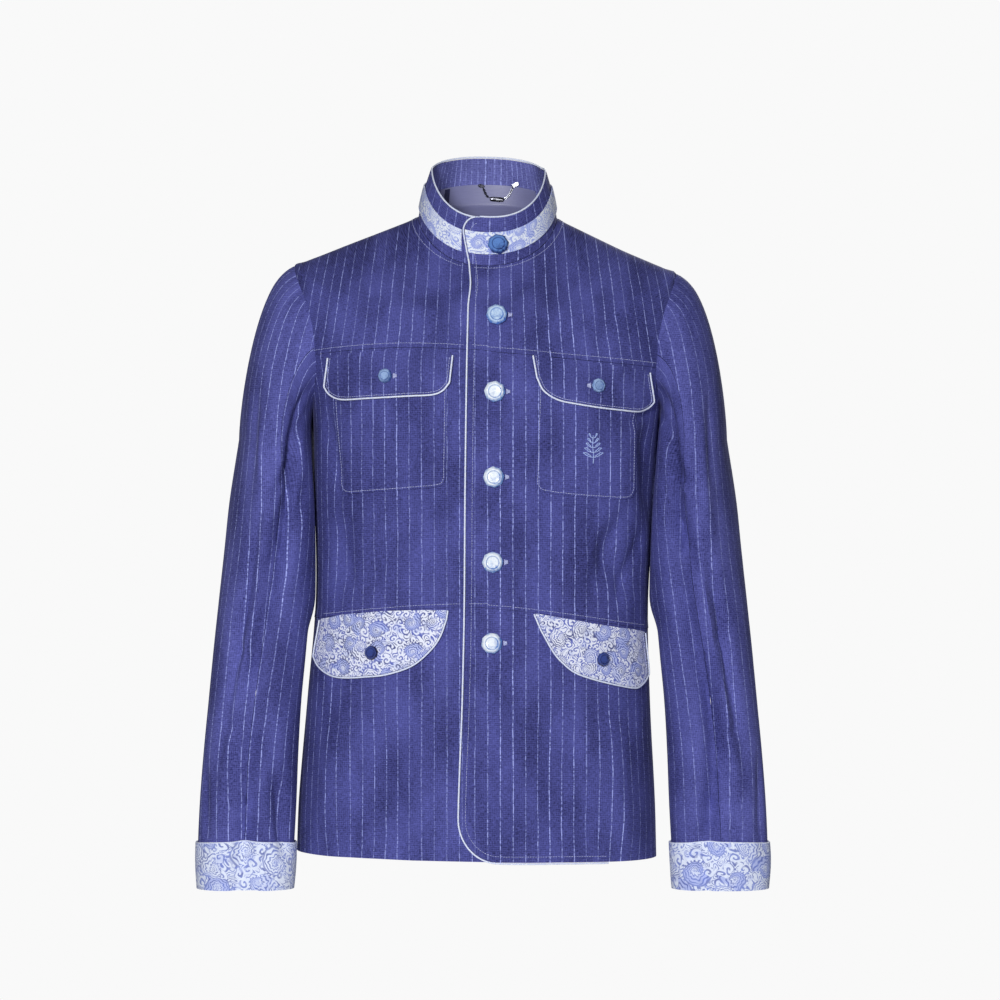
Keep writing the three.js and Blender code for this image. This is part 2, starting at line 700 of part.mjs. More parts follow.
function collarNormal(angle, rise) {
  const normal = normalOf(collarBase, angle, rise, 0.02, 0.04);
  return normal.lerp(neckNormal(angle), 1 - smoothStep(0, 0.3, rise)).normalize();
}

function collarPoint(angle, rise, lift) {
  return collarBase(angle, rise).addScaledVector(collarNormal(angle, rise), lift);
}

function collarAngle(rise, x) {
  const low = rowAt(BODY, NECK_LEVEL);
  const half = low.half + (COLLAR_TOP.half - low.half) * rise;
  const power = low.power + (COLLAR_TOP.power - low.power) * rise;
  const centre = low.centre * (1 - rise);
  return -Math.acos(signedPower(THREE.MathUtils.clamp((x - centre) / half, -1, 1), power / 2));
}

function collarEndX(rise) {
  const { xLow, xHigh, corner, cornerFrom } = COLLAR_END;
  const above = THREE.MathUtils.clamp((rise - cornerFrom) / (1 - cornerFrom), 0, 1);
  const straight = xLow + (xHigh - xLow) * Math.min(rise / cornerFrom, 1);
  return straight + corner * (1 - Math.sqrt(1 - above * above));
}

// A strip round the collar, from under the lap, behind the neck and out to the lap's end.
function collarStrip({ rises, underX, overInset, inner, outer, columns }) {
  const grid = (depth) =>
    rises.map((rise) => {
      const start = collarAngle(rise, underX);
      const finish = collarAngle(rise, collarEndX(rise) + overInset) - 2 * Math.PI;
      return evenly(columns, start, finish).map((angle) => {
        const isOver = angle < -1.9 * Math.PI;
        const lift = isOver ? lapLift(collarBase(angle, rise).x) : 0;
        return collarPoint(angle, rise, lift + depth);
      });
    });
  return wallGeometry(grid(outer), grid(inner));
}

function collarPieces() {
  const gap = (2 * SEAM_GAP) / COLLAR_DEPTH;
  const collar = collarStrip({
    rises: [gap, 0.33, 0.65, 0.8, 0.92, 1],
    underX: UNDER_COLLAR_X,
    overInset: 0,
    inner: -WALL,
    outer: 0,
    columns: COLLAR_COLUMNS,
  });
  const band = collarStrip({
    rises: [BAND_FROM, (BAND_FROM + BAND_TO) / 2, BAND_TO],
    underX: COLLAR_END.xHigh - 3.2,
    overInset: 0.4,
    inner: LAYER_GAP,
    outer: LAYER_GAP + PATCH_WALL,
    columns: COLLAR_COLUMNS,
  });
  return [named("collar", collar, COLOURS.cloth), named("collar_band", band, COLOURS.paisley)];
}

// The point of the front at x and z, with its normal.
function frontSpot(x, z, lift) {
  const level = seamLevel((at) => frontAngle(at, x), () => z, 0);
  const angle = frontAngle(level, x);
  const lap = lift.onLap ? lapLift(x) : 0;
  return { point: clothPoint(angle, level, lift.height + lap), normal: bodyNormal(angle, level) };
}

// A patch cut to its sections, lying on the front at a height over it.
function patch(sections, isLeft, height, rowCount = 5) {
  const rows = evenly(rowCount);
  const grid = (above) =>
    rows.map((row) =>
      sections.map(({ xTop, zTop, xLow, zLow }) => {
        const x = xTop + (xLow - xTop) * row;
        const z = zTop + (zLow - zTop) * row;
        return frontSpot(x, z, { height: above, onLap: isLeft }).point;
      }),
    );
  return wallGeometry(grid(height + PATCH_WALL), grid(height));
}

// The piping round a flap's free edge: down one side, along the bottom and up the other.
function flapPiping(sections, isLeft, height) {
  const first = sections[0];
  const last = sections[sections.length - 1];
  const middle = { x: (first.xTop + last.xTop) / 2, z: first.zTop };
  const side = ({ xTop, zTop, xLow, zLow }, share) => [
    xTop + (xLow - xTop) * share,
    zTop + (zLow - zTop) * share,
  ];
  const outline = [
    side(first, 0.04),
    side(first, 0.5),
    ...sections.map((section) => side(section, 1)),
    side(last, 0.5),
    side(last, 0.04),
  ];
  const reach = PIPING_RADIUS + SEAM_GAP;
  const path = outline.map(([x, z], index) => {
    const ahead = outline[Math.min(index + 1, outline.length - 1)];
    const behind = outline[Math.max(index - 1, 0)];
    const length = Math.hypot(ahead[0] - behind[0], ahead[1] - behind[1]);
    const outX = (ahead[1] - behind[1]) / length;
    const outZ = -(ahead[0] - behind[0]) / length;
    const away = Math.sign(outX * (x - middle.x) + outZ * (z - middle.z));
    return frontSpot(x + away * outX * reach, z + away * outZ * reach, { height, onLap: isLeft });
  });
  return cordGeometry(path, PIPING_RADIUS);
}

const POCKET_LIFT = LAYER_GAP;
const CHEST_FLAP_LIFT = LAYER_GAP * 2.25 + PATCH_WALL;
const HIP_FLAP_LIFT = LAYER_GAP;

function pocketsAndFlaps() {
  const flaps = [
    ["chest_flap_right", CHEST_FLAP_RIGHT, false, CHEST_FLAP_LIFT, COLOURS.cloth],
    ["chest_flap_left", CHEST_FLAP_LEFT, true, CHEST_FLAP_LIFT, COLOURS.cloth],
    ["hip_flap_right", HIP_FLAP_RIGHT, false, HIP_FLAP_LIFT, COLOURS.paisley],
    ["hip_flap_left", HIP_FLAP_LEFT, true, HIP_FLAP_LIFT, COLOURS.paisley],
  ];
  const pipingHeight = PATCH_WALL / 2 + 0.5;
  return [
    named("chest_pocket_right", patch(CHEST_POCKET_RIGHT, false, POCKET_LIFT, 8), COLOURS.cloth),
    named("chest_pocket_left", patch(CHEST_POCKET_LEFT, true, POCKET_LIFT, 8), COLOURS.cloth),
    ...flaps.flatMap(([name, sections, isLeft, lift, colour]) => [
      named(name, patch(sections, isLeft, lift), colour),
      named(`${name}_piping`, flapPiping(sections, isLeft, lift + pipingHeight), COLOURS.piping),
    ]),
  ];
}

// Piping along the collar's top edge, from under the lap round to the lap's corner.
function collarPiping() {
  const start = collarAngle(1, UNDER_COLLAR_X);
  const finish = collarAngle(1, collarEndX(1)) - 2 * Math.PI;
  const path = evenly(COLLAR_COLUMNS, start, finish).map((angle) => {
    const lift = angle < -1.9 * Math.PI ? lapLift(collarBase(angle, 1).x) : 0;
    const rise = 1 + (PIPING_RADIUS + 1.5 * SEAM_GAP) / COLLAR_DEPTH;
    return { point: collarPoint(angle, rise, lift - WALL / 2), normal: collarNormal(angle, 1) };
  });
  return cordGeometry(path, PIPING_RADIUS);
}

// Piping down the lap: the collar's end, the left front's edge and the corner at the hem.
function frontPiping() {
  const reach = PIPING_RADIUS + 1.5 * SEAM_GAP;
  const height = -WALL / 2;
  const lifted = { height, onLap: true };
  const collarEdge = evenly(8, 0.97, 0.08).map((rise) => {
    const slope = (collarEndX(rise + 0.01) - collarEndX(rise - 0.01)) / (0.02 * COLLAR_DEPTH);
    const length = Math.hypot(1, slope);
    const up = rise + (reach * slope) / length / COLLAR_DEPTH;
    const angle = collarAngle(rise, collarEndX(rise) - reach / length);
    return { point: collarPoint(angle, up, LAP_LIFT + height), normal: collarNormal(angle, up) };
  });
  const frontEdge = PIPING_HEIGHTS.map((z) => {
    const slope = frontEdgeX(z + 0.5) - frontEdgeX(z - 0.5);
    const length = Math.hypot(1, slope);
    return frontSpot(frontEdgeX(z) - reach / length, z + (reach * slope) / length, lifted);
  });
  const corner = evenly(9, 0.1, Math.PI / 2).map((angle) => {
    const away = new THREE.Vector2(-Math.cos(angle) / HEM_CORNER.width, -Math.sin(angle) / HEM_CORNER.height);
    away.setLength(reach);
    const x = frontEdgeX(HEM_CORNER.top) + HEM_CORNER.width * (1 - Math.cos(angle));
    return frontSpot(x + away.x, HEM_CORNER.top - HEM_CORNER.height * Math.sin(angle) + away.y, lifted);
  });
  const hemStart = frontEdgeX(HEM_CORNER.top) + HEM_CORNER.width;
  const hem = evenly(5, hemStart + 18, PIPING_END_X).map((x) =>
    frontSpot(x, bodyPoint(frontAngle(HEM_LEVEL, x), HEM_LEVEL).z - reach, lifted),
  );
  return cordGeometry([...collarEdge, ...frontEdge, ...corner, ...hem], PIPING_RADIUS);
}

// A faceted button with a bevelled rim, standing on a spot of the cloth.
function button(name, spot, radius, depth, colour) {
  const profile = [
    [0, 0],
    [radius * 0.8, 0],
    [radius * 0.97, depth * 0.3],
    [radius, depth * 0.62],
    [radius * 0.84, depth],
    [0, depth],
  ].map(([across, height]) => new THREE.Vector2(across, height));
  const turned = new THREE.LatheGeometry(profile, BUTTON_SIDES, Math.PI / BUTTON_SIDES);
  const mesh = named(name, turned, colour, 0.25);
  mesh.quaternion.setFromUnitVectors(new THREE.Vector3(0, 1, 0), spot.normal);
  mesh.position.copy(spot.point);
  return mesh;
}

function buttons() {
  const frontLift = { height: BUTTON_GAP, onLap: true };
  const front = FRONT_BUTTONS.map(({ x, z }, index) =>
    button(
      `button_front_${index + 1}`,
      frontSpot(x, z, frontLift),
      BUTTON_RADIUS,
      BUTTON_DEPTH,
      COLOURS.pearl,
    ),
  );
  const chestLift = CHEST_FLAP_LIFT + PATCH_WALL + BUTTON_GAP;
  const hipLift = HIP_FLAP_LIFT + PATCH_WALL + BUTTON_GAP;
  const small = [
    ["button_chest_right", -107.9, -183.6, chestLift, false, COLOURS.blueButton],
    ["button_chest_left", 116.5, -193.7, chestLift, true, COLOURS.blueButton],
    ["button_hip_right", -123, -479.6, hipLift, false, COLOURS.navyButton],
    ["button_hip_left", 122, -487, hipLift, true, COLOURS.navyButton],
  ].map(([name, x, z, height, onLap, colour]) =>
    button(name, frontSpot(x, z, { height, onLap }), SMALL_BUTTON_RADIUS, SMALL_BUTTON_DEPTH, colour),
  );
  const angle = collarAngle(COLLAR_BUTTON.rise, COLLAR_BUTTON.x);
  const lift = LAP_LIFT + LAYER_GAP + PATCH_WALL + BUTTON_GAP;
  const spot = {
    point: collarPoint(angle, COLLAR_BUTTON.rise, lift),
    normal: collarNormal(angle, COLLAR_BUTTON.rise),
  };
  return [button("button_collar", spot, BUTTON_RADIUS, BUTTON_DEPTH, COLOURS.blueButton), ...front, ...small];
}

// Inside the back neck: 1 to 0 goes down the collar, and 0 to -1 down the back.
const LINING_RISE = 0.42;
const LINING_FALL = 84;

function insideNeck(angle, way, inset) {
  if (way > 0) return collarPoint(angle, way, -inset);
  const level = NECK_LEVEL + way * LINING_FALL;
  return bodyPoint(angle, level).addScaledVector(bodyNormal(angle, level), -inset);
}

function lining() {
  const ways = [-1, -0.7, -0.4, -0.2, 0, 0.14, 0.28, LINING_RISE];
  const inset = WALL + LAYER_GAP;
  const grid = (depth) =>
    ways.map((way) => {
      const spread = 47 + 12 * Math.max(-way, 0) + 6 * (LINING_RISE - Math.max(way, 0));
      const half = THREE.MathUtils.degToRad(spread);
      const turns = evenly(14, Math.PI / 2 - half, Math.PI / 2 + half);
      return turns.map((angle) => insideNeck(angle, way, inset + depth));
    });
  return named("back_neck_lining", wallGeometry(grid(0), grid(LINING_WALL)), COLOURS.lining);
}

// A spot on the lining's inside, seen from the front at x and z.
function liningSpot({ x, z }, height) {
  const low = rowAt(BODY, NECK_LEVEL);
  const angle = Math.acos(signedPower((x - low.centre) / low.half, low.power / 2));
  const from = collarBase(angle, 0).z;
  const to = collarBase(angle, 1).z;
  const way = (z - from) / (to - from);
  return insideNeck(angle, way, WALL + LAYER_GAP + LINING_WALL + height);
}

function chainRun(from, to) {
  const away = 1.8 + CHAIN_RADIUS;
  const path = evenly(5).map((share) => {
    const sag = 2.5 * Math.sin(Math.PI * share);
    const x = from.x + (to.x - from.x) * share;
    const z = from.z + (to.z - from.z) * share - sag;
    return { point: liningSpot({ x, z }, away), normal: new THREE.Vector3(0, -1, 0) };
  });
  return cordGeometry(path, CHAIN_RADIUS);
}

function chainTab(name, spot, lean, colour) {
  const width = 6.4;
  const shape = new THREE.BoxGeometry(width, 1.6, 3.6);
  const mesh = named(name, shape, colour, 0.3, 0.9);
  mesh.position.copy(liningSpot(spot, 1.4));
  mesh.rotation.y = THREE.MathUtils.degToRad(lean);
  return mesh;
}

function chain() {
  const { xFrom, xTo, z, height, depth } = CHAIN_PLATE;
  const plate = named(
    "chain_plate",
    new THREE.BoxGeometry(xTo - xFrom, depth, height),
    COLOURS.blackMetal,
    0.35,
    0.8,
  );
  plate.position.copy(liningSpot({ x: (xFrom + xTo) / 2, z }, 2.2));
  plate.rotation.y = THREE.MathUtils.degToRad(4);
  const leftFrom = { x: CHAIN_LEFT_END.x + 2.4, z: CHAIN_LEFT_END.z - 3.2 };
  const leftTo = { x: xFrom - 1, z: z + 2 };
  const rightFrom = { x: xTo + 1, z: z + 0.4 };
  const rightTo = { x: CHAIN_RIGHT_END.x - 3.6, z: CHAIN_RIGHT_END.z - 4 };
  return [
    chainTab("chain_tab_right", CHAIN_LEFT_END, 0, COLOURS.blackMetal),
    chainTab("chain_tab_left", CHAIN_RIGHT_END, -28, COLOURS.brightMetal),
    plate,
    named("chain_run_right", chainRun(leftFrom, leftTo), COLOURS.blackMetal, 0.3, 0.9),
    named("chain_run_left", chainRun(rightFrom, rightTo), COLOURS.brightMetal, 0.3, 0.9),
  ];
}

const jacket = new THREE.Group();
jacket.add(...frontPanels(), backPanel(), ...sleeves());
jacket.add(...collarPieces(), ...pocketsAndFlaps(), ...buttons());
jacket.add(named("collar_piping", collarPiping(), COLOURS.piping));
jacket.add(named("front_piping", frontPiping(), COLOURS.piping));
jacket.add(lining(), ...chain());

export default jacket;
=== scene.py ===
import math

import bpy
import numpy as np
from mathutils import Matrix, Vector


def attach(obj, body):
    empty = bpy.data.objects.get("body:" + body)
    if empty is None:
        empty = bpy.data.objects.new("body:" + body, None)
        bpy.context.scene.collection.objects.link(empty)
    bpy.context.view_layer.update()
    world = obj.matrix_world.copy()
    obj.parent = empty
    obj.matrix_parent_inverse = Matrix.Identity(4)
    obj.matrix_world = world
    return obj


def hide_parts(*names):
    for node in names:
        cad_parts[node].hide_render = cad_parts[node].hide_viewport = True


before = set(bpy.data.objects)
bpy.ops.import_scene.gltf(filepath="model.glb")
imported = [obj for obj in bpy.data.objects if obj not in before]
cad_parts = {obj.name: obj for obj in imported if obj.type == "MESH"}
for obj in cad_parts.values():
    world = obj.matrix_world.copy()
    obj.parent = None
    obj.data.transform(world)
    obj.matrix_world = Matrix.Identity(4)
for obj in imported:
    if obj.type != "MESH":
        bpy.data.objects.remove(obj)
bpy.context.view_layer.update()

# A safari jacket in striped cloth with paisley trim, filled out as it is worn, with no wearer.
# Shapes are in millimetres and angles in radians until a mesh is made, which is in metres.
# The front faces -Y, the wearer's left is +X and +Z is up, as in the frame.
SEED = 11
MM = 0.001

WALL = 2.0
PATCH_WALL = 1.2
LINING_WALL = 1.2
SEAM_GAP = 0.3
SEWN_GAP = 0.02
LAYER_GAP = 0.8
BUTTON_GAP = 0.4
PIPING_RADIUS = 1.0
LAP_LIFT = 2.8
LAP_FULL_X = 42
LAP_END_X = 84
HEM_LEVEL = 0
ARMPIT_LEVEL = 490
SHOULDER_LEVEL = 622
NECK_LEVEL = 760
HEM_HEIGHT = -703
ARMHOLE_FRONT = 64
ARMHOLE_BACK = 68
ARMHOLE_POWER = 2.3
NECKLINE_POWER = 1.4
TILT_REACH = 200
SLEEVE_CENTRE = -5.5
SLEEVE_TOP_DROP = 250
CUFF_DROP = 737
CUFF_HEIGHT = 52
CUFF_GAP = 0.8
STRIPE_PITCH = 13.5
# Above this level the cloth's grain runs straight up, with a slight lean to the neck.
GRAIN_LEVEL = 545.0
GRAIN_LEAN = 0.0009
GRAIN_SPREAD = 0.86
GRAIN_STRETCH = 1.25


def read_table(columns, rows):
    """A table of named columns, each an array."""
    return dict(zip(columns.split(), np.array(rows, float).T))


BODY = read_table(
    "level zFront zSide zBack half yFront yBack power centre tilt",
    [
        [0, -703, -703, -703, 197.5, -115, 112, 2.3, -12.5, 3.5],
        [60, -643, -643, -643, 195.5, -116, 113, 2.35, -12, 3.5],
        [170, -533, -533, -533, 188, -119, 116, 2.4, -10, 3],
        [280, -423, -423, -423, 182.5, -121, 112, 2.4, -6.5, 3],
        [400, -303, -303, -303, 187.5, -127, 116, 2.4, -3.5, 3],
        [490, -213, -213, -213, 191.5, -125, 120, 2.4, -2, 3],
        [560, -160, -145, -154, 207, -118, 118, 2.4, -2, 4],
        [622, -118, -63.4, -88, 210, -107, 104, 2.3, -3, 4],
        [634, -113.5, -58, -79.8, 198.5, -105.5, 101, 2.3, -3, 4],
        [657, -105, -49.5, -64, 177.5, -102.5, 95, 2.3, -3, 4],
        [692, -92, -36, -40, 145, -98, 86, 2.3, -3, 4],
        [760, -65, -6, 14, 76, -86, 60, 2.2, -0.5, 2],
    ],
)
COLLAR_TOP = {"zFront": -12, "zSide": 46, "zBack": 65, "half": 63, "yFront": -68, "yBack": 62, "power": 2.5}
COLLAR_TOP.update(centre=0.0, tilt=5.0)
COLLAR_BOW = 1.5
COLLAR_RADIUS = 70
COLLAR_DEPTH = 52
BAND_FROM = 0.23
BAND_TO = 0.68
COLLAR_END = {"low": -18, "high": -24.5, "corner": 16, "corner_from": 0.65}
UNDER_COLLAR_X = 18
FRONT_EDGE = read_table(
    "drop x",
    [[60, -19], [84, -17], [110, -19.5], [295, -22.4], [433, -23.5], [529, -25.6], [615, -28.8], [657, -30], [720, -30]],
)
UNDER_FRONT_X = 31
PIPING_END_X = 130
HEM_CORNER = {"top": -657, "width": 42, "height": 46}
SLEEVE = read_table(
    "drop out y half depth turn power",
    [
        [250, 230, -8, 38.5, 72, 10, 2.2],
        [316, 231.5, -20, 46, 69, 13, 2.2],
        [371, 234, -28, 48.5, 64, 12, 2.2],
        [426, 238, -34, 50, 59, 9, 2.2],
        [481, 243, -39, 50.5, 54, 6, 2.2],
        [536, 248, -43, 50.5, 50, 3, 2.2],
        [591, 252, -46, 51.5, 46, 0, 2.2],
        [646, 255, -48, 52.5, 42, 0, 2.25],
        [700, 257.5, -48, 52, 38, 0, 2.3],
        [742, 258, -48, 50, 36, 0, 2.3],
    ],
)
CAP_LEAVES = {"top_out": 112, "top_down": 34, "side_out": 60, "side_ahead": 16, "side_down": 40, "low_out": 18, "low_down": 20}
CAP_LANDS = {"top": 200, "side": 110, "low": 36}
# The under sleeve is fuller behind, beside the body, down to the elbow.
REAR_FULLNESS = {"angle": 215, "width": 44, "depth": 19}
SLEEVE_HEAD = {"lap": 2.2, "rise": 1.2}
BODY_CLEARANCE = 1.2
CONTACT_SOFTNESS = 3

# Folds run from one end to the other with a width and a depth, minus for a trough.
BODY_FOLDS = read_table(
    "back x1 z1 x2 z2 width depth",
    [
        [0, 172, -235, 176, -330, 9, -4],
        [0, 118, -352, 150, -412, 15, -3.5],
        [0, -160, -342, -150, -412, 14, -3],
        [0, 60, -570, 76, -690, 22, -3],
        [0, 128, -568, 150, -690, 20, 4],
        [0, -110, -560, -118, -690, 22, -3],
        [0, -160, -562, -172, -690, 18, 3.5],
        [1, -140, -215, -158, -330, 16, -4.5],
        [1, 140, -215, 156, -330, 16, -4.5],
        [1, -60, -400, -40, -470, 20, -3],
        [1, 62, -395, 40, -470, 20, -3],
        [1, -90, -540, -104, -695, 24, -4],
        [1, 88, -540, 100, -695, 24, -4],
        # Smaller creases: under the collar button, across the waist and beside the buttons.
        [0, 44, -80, 14, -108, 5, -2.2],
        [0, 30, -96, 2, -126, 6, 1.2],
        [0, 92, -70, 66, -108, 8, -1.2],
        [0, -70, -72, -44, -112, 8, -1.1],
        [0, 140, -104, 120, -150, 8, -1.2],
        [0, 176, -220, 148, -236, 7, -1.6],
        [0, 146, -330, 118, -404, 8, -2.2],
        [0, 126, -330, 100, -396, 7, 1.4],
        [0, 166, -352, 140, -426, 6, -1.6],
        [0, 56, -330, 30, -372, 9, -1.4],
        [0, 40, -392, 8, -420, 8, -1.5],
        [0, -44, -330, -76, -400, 9, -1.3],
        [0, -96, -348, -128, -414, 8, -1.6],
        [0, -172, -228, -158, -300, 7, -2.0],
        [0, -30, -520, -44, -600, 10, -1.3],
        [0, 26, -486, 6, -552, 9, -1.5],
        [0, 34, -590, 22, -688, 10, 1.6],
        [0, 96, -560, 104, -690, 9, -1.6],
        [0, -72, -560, -80, -690, 10, 1.6],
        [0, -140, -560, -146, -690, 9, -1.6],
        [1, -110, -110, -84, -180, 14, -1.8],
        [1, 112, -108, 88, -182, 14, -1.8],
        [1, -120, -300, -84, -368, 12, -1.8],
        [1, 118, -306, 76, -372, 12, -1.8],
        [1, -30, -60, -34, -150, 10, -1.2],
        [1, 30, -60, 34, -150, 10, -1.2],
        [1, -20, -420, 24, -440, 9, -1.8],
        [1, -128, -440, -96, -520, 12, -1.6],
        [1, 130, -436, 98, -520, 12, -1.6],
        [1, 8, -560, -6, -690, 16, -2],
        [1, -150, -560, -158, -690, 12, -2],
        [1, 148, -556, 160, -690, 12, -2],
    ],
)
# The same on the sleeves: across them in degrees from the outside, by the front, and down.
SLEEVE_FOLDS = read_table(
    "side angle1 drop1 angle2 drop2 width depth",
    [
        [-1, 118, 215, 78, 420, 11, -6],
        [-1, 96, 400, 70, 560, 10, -4],
        [-1, 60, 250, 74, 400, 12, 4],
        [-1, 84, 775, 96, 640, 11, -3],
        [-1, 128, 620, 140, 690, 11, -4],
        [1, 120, 215, 80, 400, 11, -6],
        [1, 108, 380, 84, 610, 10, -5],
        [1, 62, 260, 76, 420, 12, 4],
        [1, 92, 600, 110, 690, 11, -4],
        [-1, 235, 225, 275, 420, 12, -5],
        [1, 232, 225, 272, 420, 12, -5],
        [-1, 268, 440, 292, 600, 12, -4],
        [1, 270, 450, 290, 620, 12, -4],
        # Smaller creases: over the elbow, above the cuffs and down from the cap.
        [-1, 40, 200, 56, 300, 9, -1.6],
        [-1, 128, 300, 96, 380, 8, -2.4],
        [-1, 50, 470, 92, 500, 8, -2],
        [-1, 58, 556, 100, 580, 8, -1.8],
        [-1, 66, 650, 112, 636, 7, -2],
        [-1, 78, 666, 120, 674, 6, -2.2],
        [-1, 30, 610, 40, 680, 8, -1.5],
        [1, 40, 200, 58, 300, 9, -1.6],
        [1, 126, 290, 92, 370, 8, -2.4],
        [1, 54, 452, 96, 486, 8, -2],
        [1, 60, 560, 104, 588, 8, -2],
        [1, 62, 648, 112, 640, 7, -2.2],
        [1, 74, 672, 118, 668, 6, -2],
        [1, 28, 600, 38, 684, 8, -1.5],
        [-1, 132, 228, 74, 318, 6, -3],
        [-1, 116, 226, 92, 420, 5, -3],
        [-1, 66, 300, 58, 540, 8, -3.5],
        [-1, 96, 540, 88, 700, 8, -3.5],
        [-1, 74, 420, 66, 620, 7, 2.5],
        [-1, 112, 700, 92, 770, 6, -2.5],
        [1, 134, 230, 78, 306, 6, -3],
        [1, 112, 226, 96, 400, 5, -3],
        [1, 70, 330, 62, 560, 8, -3.5],
        [1, 92, 520, 100, 690, 8, -3.5],
        [1, 78, 400, 72, 640, 7, 2.5],
        [1, 116, 690, 98, 770, 6, -2.5],
        [-1, 300, 480, 262, 520, 9, -2],
        [1, 300, 486, 262, 526, 9, -2],
        [-1, 262, 640, 300, 664, 8, -2],
        [1, 262, 636, 300, 660, 8, -2],
    ],
)
FOLD_ENDS = 0.3
FOLD_STRENGTH = {"body": 2.1, "sleeve": 2.3}

# Pocket and flap outlines: sections from the top edge to the low edge, along the piece.
SECTIONS = "xTop zTop xLow zLow"
POCKETS = {
    "chest_pocket_right": read_table(
        SECTIONS,
        [
            [-165, -194, -159.5, -300],
            [-161, -193, -156, -306],
            [-153, -192, -148, -309],
            [-128, -191, -125, -307.5],
            [-104, -190, -101, -306],
            [-78, -190, -77, -304],
            [-55, -190, -54.5, -302],
            [-47, -190, -47.5, -299],
            [-43, -190, -44.5, -292],
        ],
    ),
    "chest_pocket_left": read_table(
        SECTIONS,
        [
            [54, -192, 50.5, -299],
            [58, -193, 54.5, -305],
            [63, -194, 60, -307.5],
            [86, -196, 84, -311],
            [110, -199, 108, -313],
            [132, -201, 131, -314.5],
            [147, -203, 146, -315],
            [155, -204, 154, -312.5],
            [160, -205, 158, -305],
        ],
    ),
}
FLAPS = {
    "chest_flap_right": read_table(
        SECTIONS,
        [
            [-168.6, -161.5, -171.5, -193],
            [-161, -160.5, -166, -201],
            [-148, -159, -154, -206.5],
            [-126, -157.5, -129, -206],
            [-104, -156.5, -104, -205],
            [-80, -156.5, -81, -204],
            [-58, -158, -59, -203],
            [-47, -160, -48.5, -199],
            [-38.4, -161, -41.6, -191],
        ],
    ),
    "chest_flap_left": read_table(
        SECTIONS,
        [
            [49, -162, 53, -186],
            [58, -163, 60, -199.5],
            [72, -165, 75, -208.5],
            [94, -167, 95, -212.5],
            [117, -169.5, 117, -215.8],
            [138, -172, 139, -218],
            [155, -174, 159, -219.3],
            [164, -175.5, 169, -216],
            [171, -177, 174.5, -209],
        ],
    ),
    "hip_flap_right": read_table(
        SECTIONS,
        [
            [-180, -445, -185.5, -486],
            [-176, -444.2, -180.5, -495],
            [-170, -443, -171.5, -502],
            [-160, -440.5, -161, -505.5],
            [-147, -438.5, -147, -505.8],
            [-132, -437, -132, -504.5],
            [-112, -435, -108, -501.5],
            [-88, -434, -81, -492],
            [-68, -433.5, -62, -476],
            [-54, -433.5, -51.5, -461],
            [-43.7, -433.5, -45, -443],
        ],
    ),
    "hip_flap_left": read_table(
        SECTIONS,
        [
            [50, -436.5, 57, -454],
            [62, -439, 70, -477],
            [78, -442, 80, -489],
            [98, -445.5, 93, -499.5],
            [116, -449, 111, -506.5],
            [130, -451.5, 128, -511.5],
            [142, -453.5, 144, -515.5],
            [152, -455, 158, -518],
            [161, -457, 166, -513],
            [168.5, -459, 171, -505],
        ],
    ),
}
FRONT_BUTTONS = [(9.6, -119.5), (7.5, -200.8), (6.4, -291.5), (5.3, -382), (4.3, -468.6)]
COLLAR_BUTTON = {"x": 10.8, "rise": 0.42}
BUTTON_RADIUS, BUTTON_DEPTH = 11.5, 4.4
SMALL_BUTTON_RADIUS, SMALL_BUTTON_DEPTH = 8, 3.6
FLAP_BUTTONS = {
    "button_chest_right": (-107.9, -183.6),
    "button_chest_left": (116.5, -193.7),
    "button_hip_right": (-123, -479.6),
    "button_hip_left": (122, -487),
}
CHAIN_ENDS = [(-7.8, 34), (32.5, 35)]
CHAIN_PLATE = {"x_from": 2.2, "x_to": 17.8, "z": 19.6}
LINING_RISE = 0.42
LINING_FALL = 84
POCKET_LIFT = LAYER_GAP
CHEST_FLAP_LIFT = LAYER_GAP * 2.25 + PATCH_WALL
HIP_FLAP_LIFT = LAYER_GAP


def row_at(table, at):
    """All columns of a table at positions between its rows, on smooth curves through the rows."""
    key = next(iter(table))
    rows, at = table[key], np.asarray(at, float)
    index = np.clip(np.searchsorted(rows, at, side="left") - 1, 0, len(rows) - 2)
    before, after = np.maximum(index - 1, 0), np.minimum(index + 2, len(rows) - 1)
    span = rows[index + 1] - rows[index]
    share = (at - rows[index]) / span
    square, cube = share**2, share**3
    read = {}
    for name, column in table.items():
        leaving = (column[index + 1] - column[before]) / (rows[index + 1] - rows[before]) * span
        arriving = (column[after] - column[index]) / (rows[after] - rows[index]) * span
        read[name] = (
            (2 * cube - 3 * square + 1) * column[index]
            + (cube - 2 * square + share) * leaving
            + (3 * square - 2 * cube) * column[index + 1]
            + (cube - square) * arriving
        )
    return read


def smooth_step(low, high, value):
    share = np.clip((value - low) / (high - low), 0, 1)
    return share * share * (3 - 2 * share)


def signed_power(value, power):
    return np.sign(value) * np.abs(value) ** power


def unit(vectors):
    return vectors / np.maximum(np.linalg.norm(vectors, axis=-1, keepdims=True), 1e-9)


def ring_point(ring, angle):
    """A point of a ring: angle 0 is the wearer's left side, and -90 degrees is the centre front."""
    bend = 2 / ring["power"]
    along = np.sin(angle)
    reach = np.abs(along) ** bend
    x = ring["centre"] + ring["half"] * signed_power(np.cos(angle), bend)
    y = reach * np.where(along < 0, ring["yFront"], ring["yBack"])
    z_end = np.where(along < 0, ring["zFront"], ring["zBack"])
    z = ring["zSide"] + (z_end - ring["zSide"]) * reach**NECKLINE_POWER - ring["tilt"] * x / TILT_REACH
    return np.stack(np.broadcast_arrays(x, y, z), axis=-1)


def body_point(angle, level):
    return ring_point(row_at(BODY, level), angle)


